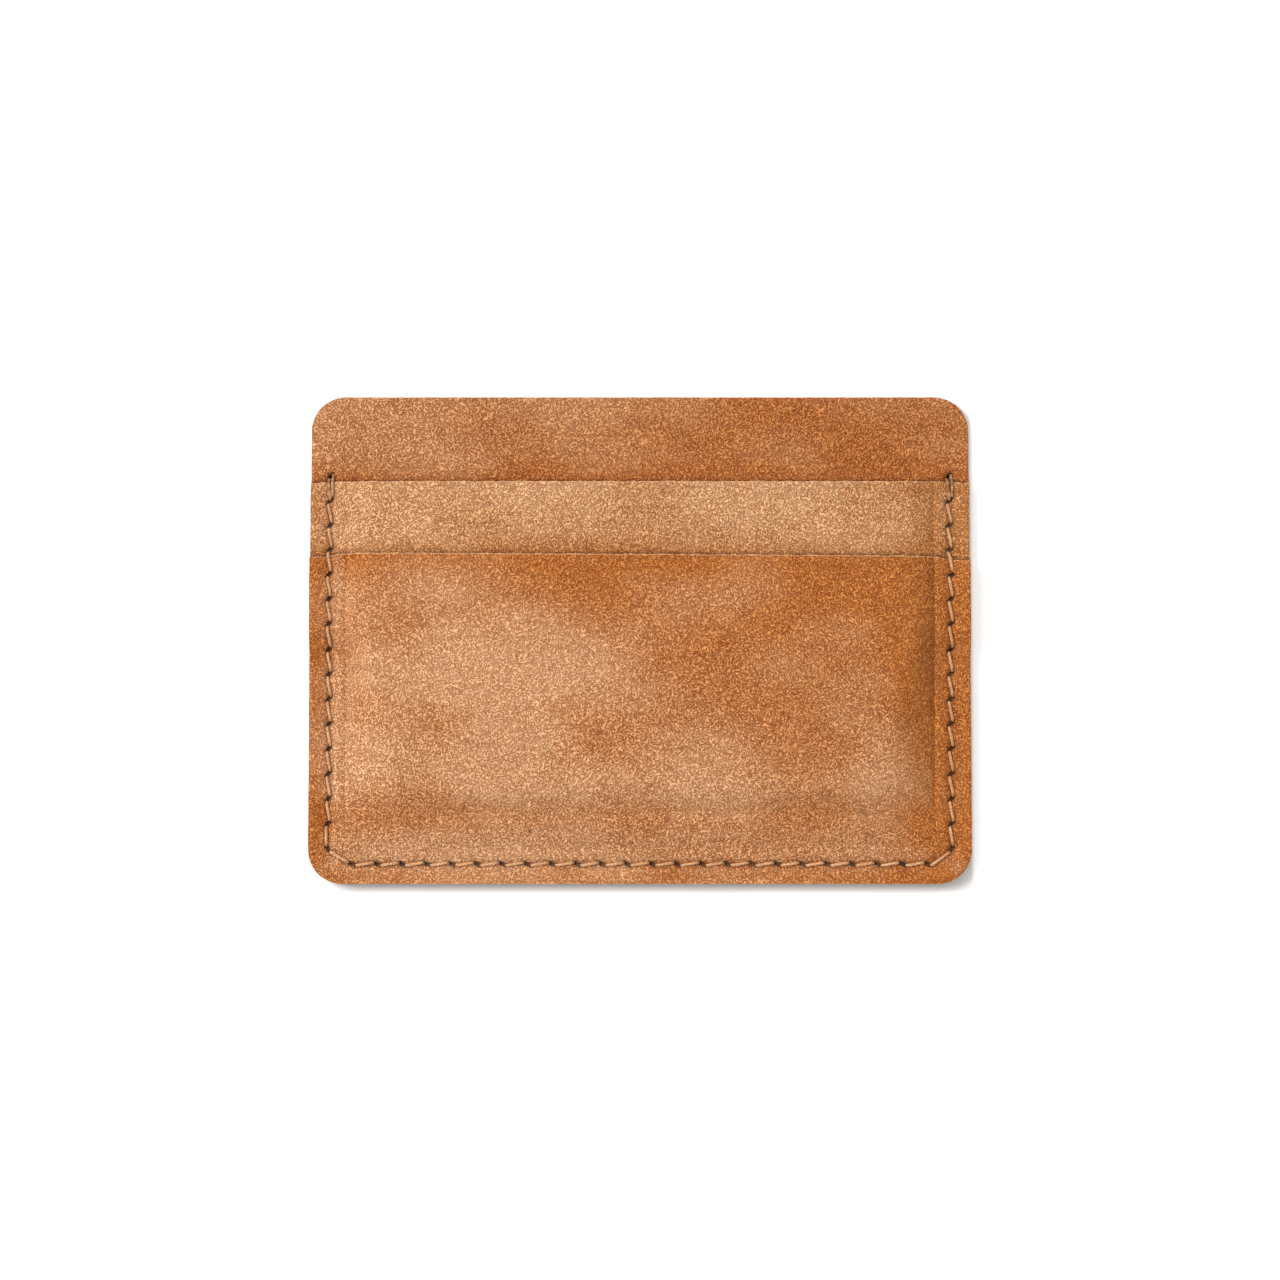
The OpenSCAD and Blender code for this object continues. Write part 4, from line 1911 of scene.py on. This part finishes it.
@dataclass(frozen=True)
class CementFinish:
    """Dried contact cement: amber, dull and brushed unevenly."""

    name: str
    thin: Colour
    thick: Colour

    def material(self, groups: dict[str, bpy.types.NodeTree]) -> bpy.types.Material:
        """Builds the material from the shared groups.

        Args:
            groups: the shared node groups by name.

        Returns:
            The finished material.
        """
        material, n, shader = new_material(self.name)
        place = n.millimetres()
        tone = n.add("ShaderNodeGroup", node_tree=groups["blotches"])
        tone.inputs["Patch Size"].default_value = 3.0
        material.node_tree.links.new(place, tone.inputs["Vector"])
        colour = n.mix(tone.outputs["Patches"], self.thin, self.thick)
        bump = n.add("ShaderNodeBump", {"Strength": 0.4, "Distance": 0.00008,
                                        "Height": tone.outputs["Spots"]})
        rough = n.span(tone.outputs["Spots"], 0.0, 1.0, (0.35, 0.6))
        for label, socket in (("Base Color", colour), ("Roughness", rough), ("Normal", bump.outputs[0])):
            material.node_tree.links.new(socket, shader.inputs[label])
        return material


# ---------------------------------------------------------------- the studio


@dataclass(frozen=True)
class Studio:
    """A pale floor, soft light from the upper left and a camera almost straight above."""

    tilt: float = 4.1
    distance: float = 0.5
    frame_w: float = 0.1946
    key_power: float = 15.0
    top_power: float = 2.0
    fill: float = 0.62
    key_place: Place = (-0.76, 0.34, 0.88)
    key_size: float = 0.6
    top_place: Place = (-0.1, 0.5, 1.0)
    top_size: float = 0.7
    fill_colour: Colour = (1, 0.99, 0.975, 1)
    sensor: float = 36
    floor_size: float = 6
    floor_z: float = -0.00002
    floor_colours: tuple[Colour, Colour] = ((0.9, 0.9, 0.9, 1), (0.91, 0.91, 0.912, 1))
    floor_glow: float = 0.36
    footprint: Point = (0.05, 0.037)
    covered_inset: float = 0.002
    covered_colour: Colour = (0.06, 0.03, 0.015, 1)
    side_fade: Point = (0.0, 0.0008)
    foot_fade: Point = (0.0006, 0.003)

    def light(self, name: str, place: Place, size: float, power: float) -> None:
        """Adds a square soft light aimed at the holder.

        Args:
            name: the light's name.
            place: where it hangs.
            size: the length of its side.
            power: its power in watts.
        """
        data = bpy.data.lights.new(name, "AREA")
        data.shape = "SQUARE"
        data.size = size
        data.energy = power
        lamp = bpy.data.objects.new(name, data)
        lamp.location = place
        lamp.rotation_euler = Vector(place).to_track_quat("Z", "Y").to_euler()
        bpy.context.collection.objects.link(lamp)

    def floor(self) -> None:
        """Lays the pale floor.

        It gives off a little light round the holder, which keeps it white there, and is dark
        where the holder hides it, so that nothing pale shows through the slits.
        """
        Bench.clear()
        bpy.ops.mesh.primitive_plane_add(size=self.floor_size, location=(0, 0, self.floor_z))
        floor = bpy.context.object
        floor.name = "floor"
        material, n, shader = new_material("Pale floor")
        place = n.add("ShaderNodeTexCoord").outputs["Object"]
        tone = n.noise(place, 3.0, 2.0)
        colour = n.mix(tone.outputs["Fac"], *self.floor_colours)
        half_w, half_h = self.footprint
        across, up, _ = n.add("ShaderNodeSeparateXYZ", {0: n.vector("ABSOLUTE", place)}).outputs
        covered = n.math("MULTIPLY", n.math("LESS_THAN", across, half_w - self.covered_inset),
                         n.math("LESS_THAN", up, half_h - self.covered_inset))
        colour = n.mix(covered, colour, self.covered_colour)
        material.node_tree.links.new(colour, shader.inputs["Base Color"])
        shader.inputs["Roughness"].default_value = 0.9
        shader.inputs["Specular IOR Level"].default_value = 0.1
        beside = n.span(across, half_w + self.side_fade[0], half_w + self.side_fade[1])
        below = n.span(up, half_h + self.foot_fade[0], half_h + self.foot_fade[1])
        outside = n.math("MULTIPLY", n.math("MAXIMUM", beside, below), self.floor_glow)
        shader.inputs["Emission Color"].default_value = (1, 1, 1, 1)
        material.node_tree.links.new(outside, shader.inputs["Emission Strength"])
        floor.data.materials.append(material)

    def camera(self) -> None:
        """Sets the camera up."""
        data = bpy.data.cameras.new("camera")
        data.sensor_width = self.sensor
        data.lens = self.sensor * self.distance / self.frame_w
        camera = bpy.data.objects.new("camera", data)
        tilt = math.radians(self.tilt)
        camera.location = (0, -self.distance * math.sin(tilt), self.distance * math.cos(tilt))
        camera.rotation_euler = (tilt, 0, 0)
        bpy.context.collection.objects.link(camera)
        bpy.context.scene.camera = camera

    def build(self) -> None:
        """Lights the set and fixes how light becomes colour."""
        self.floor()
        self.camera()
        self.light("key", self.key_place, self.key_size, self.key_power)
        self.light("top", self.top_place, self.top_size, self.top_power)
        world = bpy.data.worlds.new("studio")
        world.use_nodes = True
        back = world.node_tree.nodes["Background"]
        back.inputs["Color"].default_value = self.fill_colour
        back.inputs["Strength"].default_value = self.fill
        bpy.context.scene.world = world
        bpy.context.scene.view_settings.view_transform = "Standard"


# ---------------------------------------------------------------- the holder


@dataclass
class CardHolder:
    """Puts the sub-assemblies together and dresses them."""

    plan: Plan = field(default_factory=Plan.from_frame)

    def panels(self, lie: Lie) -> list[LeatherSheet]:
        """The three leather panels, back to front.

        Args:
            lie: the lie of the leather.

        Returns:
            The panels, not yet built.
        """
        p = self.plan
        seam_zone = [(-p.half_w + 1.6, -p.inner_x + 1), (p.inner_x - 1, p.half_w - 1.6)]
        foot_zone = (p.bottom + 1.6, p.bottom + 4.4)
        stem_y = (p.stem_y + p.strip_y) / 2
        return [
            BackPanel(p, lie, "back_panel_leather", "back_panel", p.back_t, (-p.half_w, p.bottom),
                      (p.half_w, p.top), cell=0.6, fine_cell=0.3, phase=0.4, mouth_fray=0.0,
                      x_zones=seam_zone,
                      y_zones=[foot_zone, (stem_y - 1.4, stem_y + 1.4), (p.t_mouth - 0.6, p.t_mouth + 1)]),
            TPocket(p, lie, "t_pocket_leather", "t_pocket", p.t_pocket_t, (-p.half_w, p.stem_y),
                    (p.half_w, p.t_mouth), cell=0.55, fine_cell=0.3, phase=1.9, fibre_count=230,
                    x_zones=seam_zone, y_zones=[(p.front_mouth, p.t_mouth)]),
            FrontPocket(p, lie, "front_pocket_leather", "front_pocket", p.front_t, (-p.half_w, p.bottom),
                        (p.half_w, p.front_mouth), cell=0.45, fine_cell=0.3, phase=3.1, fibre_count=260,
                        x_zones=seam_zone, y_zones=[foot_zone]),
        ]

    def films(self, lie: Lie) -> list[CementFilm]:
        """The three cement films.

        Args:
            lie: the lie of the leather.

        Returns:
            The films, not yet built.
        """
        p = self.plan
        window = ((-p.inner_x, p.bottom + p.margin), (p.inner_x, p.front_mouth + 1))
        gap = 0.06
        t_pocket, front = self.panels(lie)[1:]

        def on_back(x: Grid, y: Grid) -> Grid:
            """The back panel's face."""
            return np.full(np.shape(x), p.back_t)

        def below_t(x: Grid, y: Grid) -> Grid:
            """The T pocket's cemented underside."""
            return np.full(np.shape(x), p.low_z)

        def below_front(x: Grid, y: Grid) -> Grid:
            """The back panel's face, and the ears' where they are."""
            return np.where(y < p.ear_y, p.back_t, p.ear_z)

        return [
            CementFilm(p, lie, "ear_cement", "ear_glue", p.glue_t, (-p.half_w + gap, p.ear_y + gap),
                       (p.half_w - gap, p.t_mouth - gap), bed=on_back, lift=below_t, follow=t_pocket.shift,
                       window=((-p.inner_x, p.ear_y - 1), (p.inner_x, p.t_mouth + 1))),
            CementFilm(p, lie, "stem_cement", "base_glue", p.glue_t,
                       (-p.stem_half_base + gap, p.stem_y + gap),
                       (p.stem_half_base - gap, p.strip_y), bed=on_back, lift=below_t),
            CementFilm(p, lie, "front_cement", "front_glue", p.glue_t, (-p.half_w + gap, p.bottom + gap),
                       (p.half_w - gap, p.front_mouth - gap), bed=below_front, lift=lie.front_under,
                       follow=front.shift, window=window, corner=True, fine_cell=0.2,
                       y_zones=[(p.ear_y - 0.6, p.ear_y + 0.6)]),
        ]

    def threads(self, lie: Lie) -> list[SewnThread]:
        """The perimeter seam's thread and the stem's thread."""
        p = self.plan
        return [
            SewnThread(p, lie, lie.seam, "seam_thread_waxed", "seam_thread", lie.face),
            SewnThread(p, lie, lie.stem, "stem_thread_waxed", "base_thread",
                       lambda x, y: np.full(np.shape(x), p.ear_z)),
        ]

    @staticmethod
    def finishes() -> dict[str, bpy.types.Material]:
        """All finishes by the record's slot names.

        Returns:
            The materials.
        """
        groups = {"grain": scuffed_grain(), "blotches": blotches(), "edge": raw_edge()}
        leathers = {
            "back_leather": LeatherFinish(
                "Back leather", srgb(132, 69, 25), srgb(187, 117, 64), srgb(226, 169, 121),
                srgb(170, 108, 58), (0.85, 0.62, 0.36, 1), 0.8, offset=(3, 11, 0)),
            "t_pocket_leather": LeatherFinish(
                "T pocket leather", srgb(148, 86, 40), srgb(202, 139, 88), srgb(242, 191, 144),
                srgb(196, 134, 82), (0.78, 0.62, 0.42, 1), 0.75, offset=(41, 7, 0)),
            "front_leather": LeatherFinish(
                "Front leather", srgb(146, 83, 37), srgb(201, 136, 84), srgb(241, 188, 143),
                srgb(192, 128, 76), (0.77, 0.5, 0.22, 1), 0.75, offset=(17, 53, 0),
                specks=(Speck(-16.6, -29.1, 0.4, 0.85), Speck(15.6, -18.1, 0.35, 0.5),
                        Speck(33.6, -26.4, 1.1, 0.3))),
        }
        thread = ThreadFinish("Waxed thread", srgb(230, 184, 140), srgb(172, 120, 80), srgb(108, 68, 40),
                              srgb(44, 14, 4))
        cement = CementFinish("Contact cement", srgb(122, 78, 36), srgb(70, 38, 15))
        found = {slot: finish.material(groups) for slot, finish in leathers.items()}
        found["thread"] = thread.material(groups)
        found["cement"] = cement.material(groups)
        return found

    @staticmethod
    def place(piece: bpy.types.Object, node: str, finish: bpy.types.Material, slot: str) -> None:
        """Dresses a finished piece and lets it stand for its CAD node.

        Args:
            piece: the finished piece.
            node: the CAD node that it replaces.
            finish: its material.
            slot: the record's slot that the finish is for; not used.
        """
        piece.data.materials.clear()
        piece.data.materials.append(finish)
        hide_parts(node)
        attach(piece, BODY)
        log.info("%s stands for %s, %d faces", piece.name, node, len(piece.data.polygons))

    def build(self) -> None:
        """Builds every piece in the order in which the holder is made."""
        lie = Lie(self.plan, perimeter_row(self.plan), stem_row(self.plan))
        finishes = self.finishes()
        slots = {row["node"]: row["material_slot"] for row in frame["record"]["subparts"]}
        for part in [*self.panels(lie), *self.films(lie), *self.threads(lie)]:
            slot = slots[part.node]
            self.place(part.build(), part.node, finishes[slot], slot)


def main() -> None:
    """Builds the set and the holder."""
    logging.basicConfig(level=logging.INFO, format="%(message)s")
    Bench.clear()
    Studio().build()
    CardHolder().build()


if __name__ == "__main__":
    main()
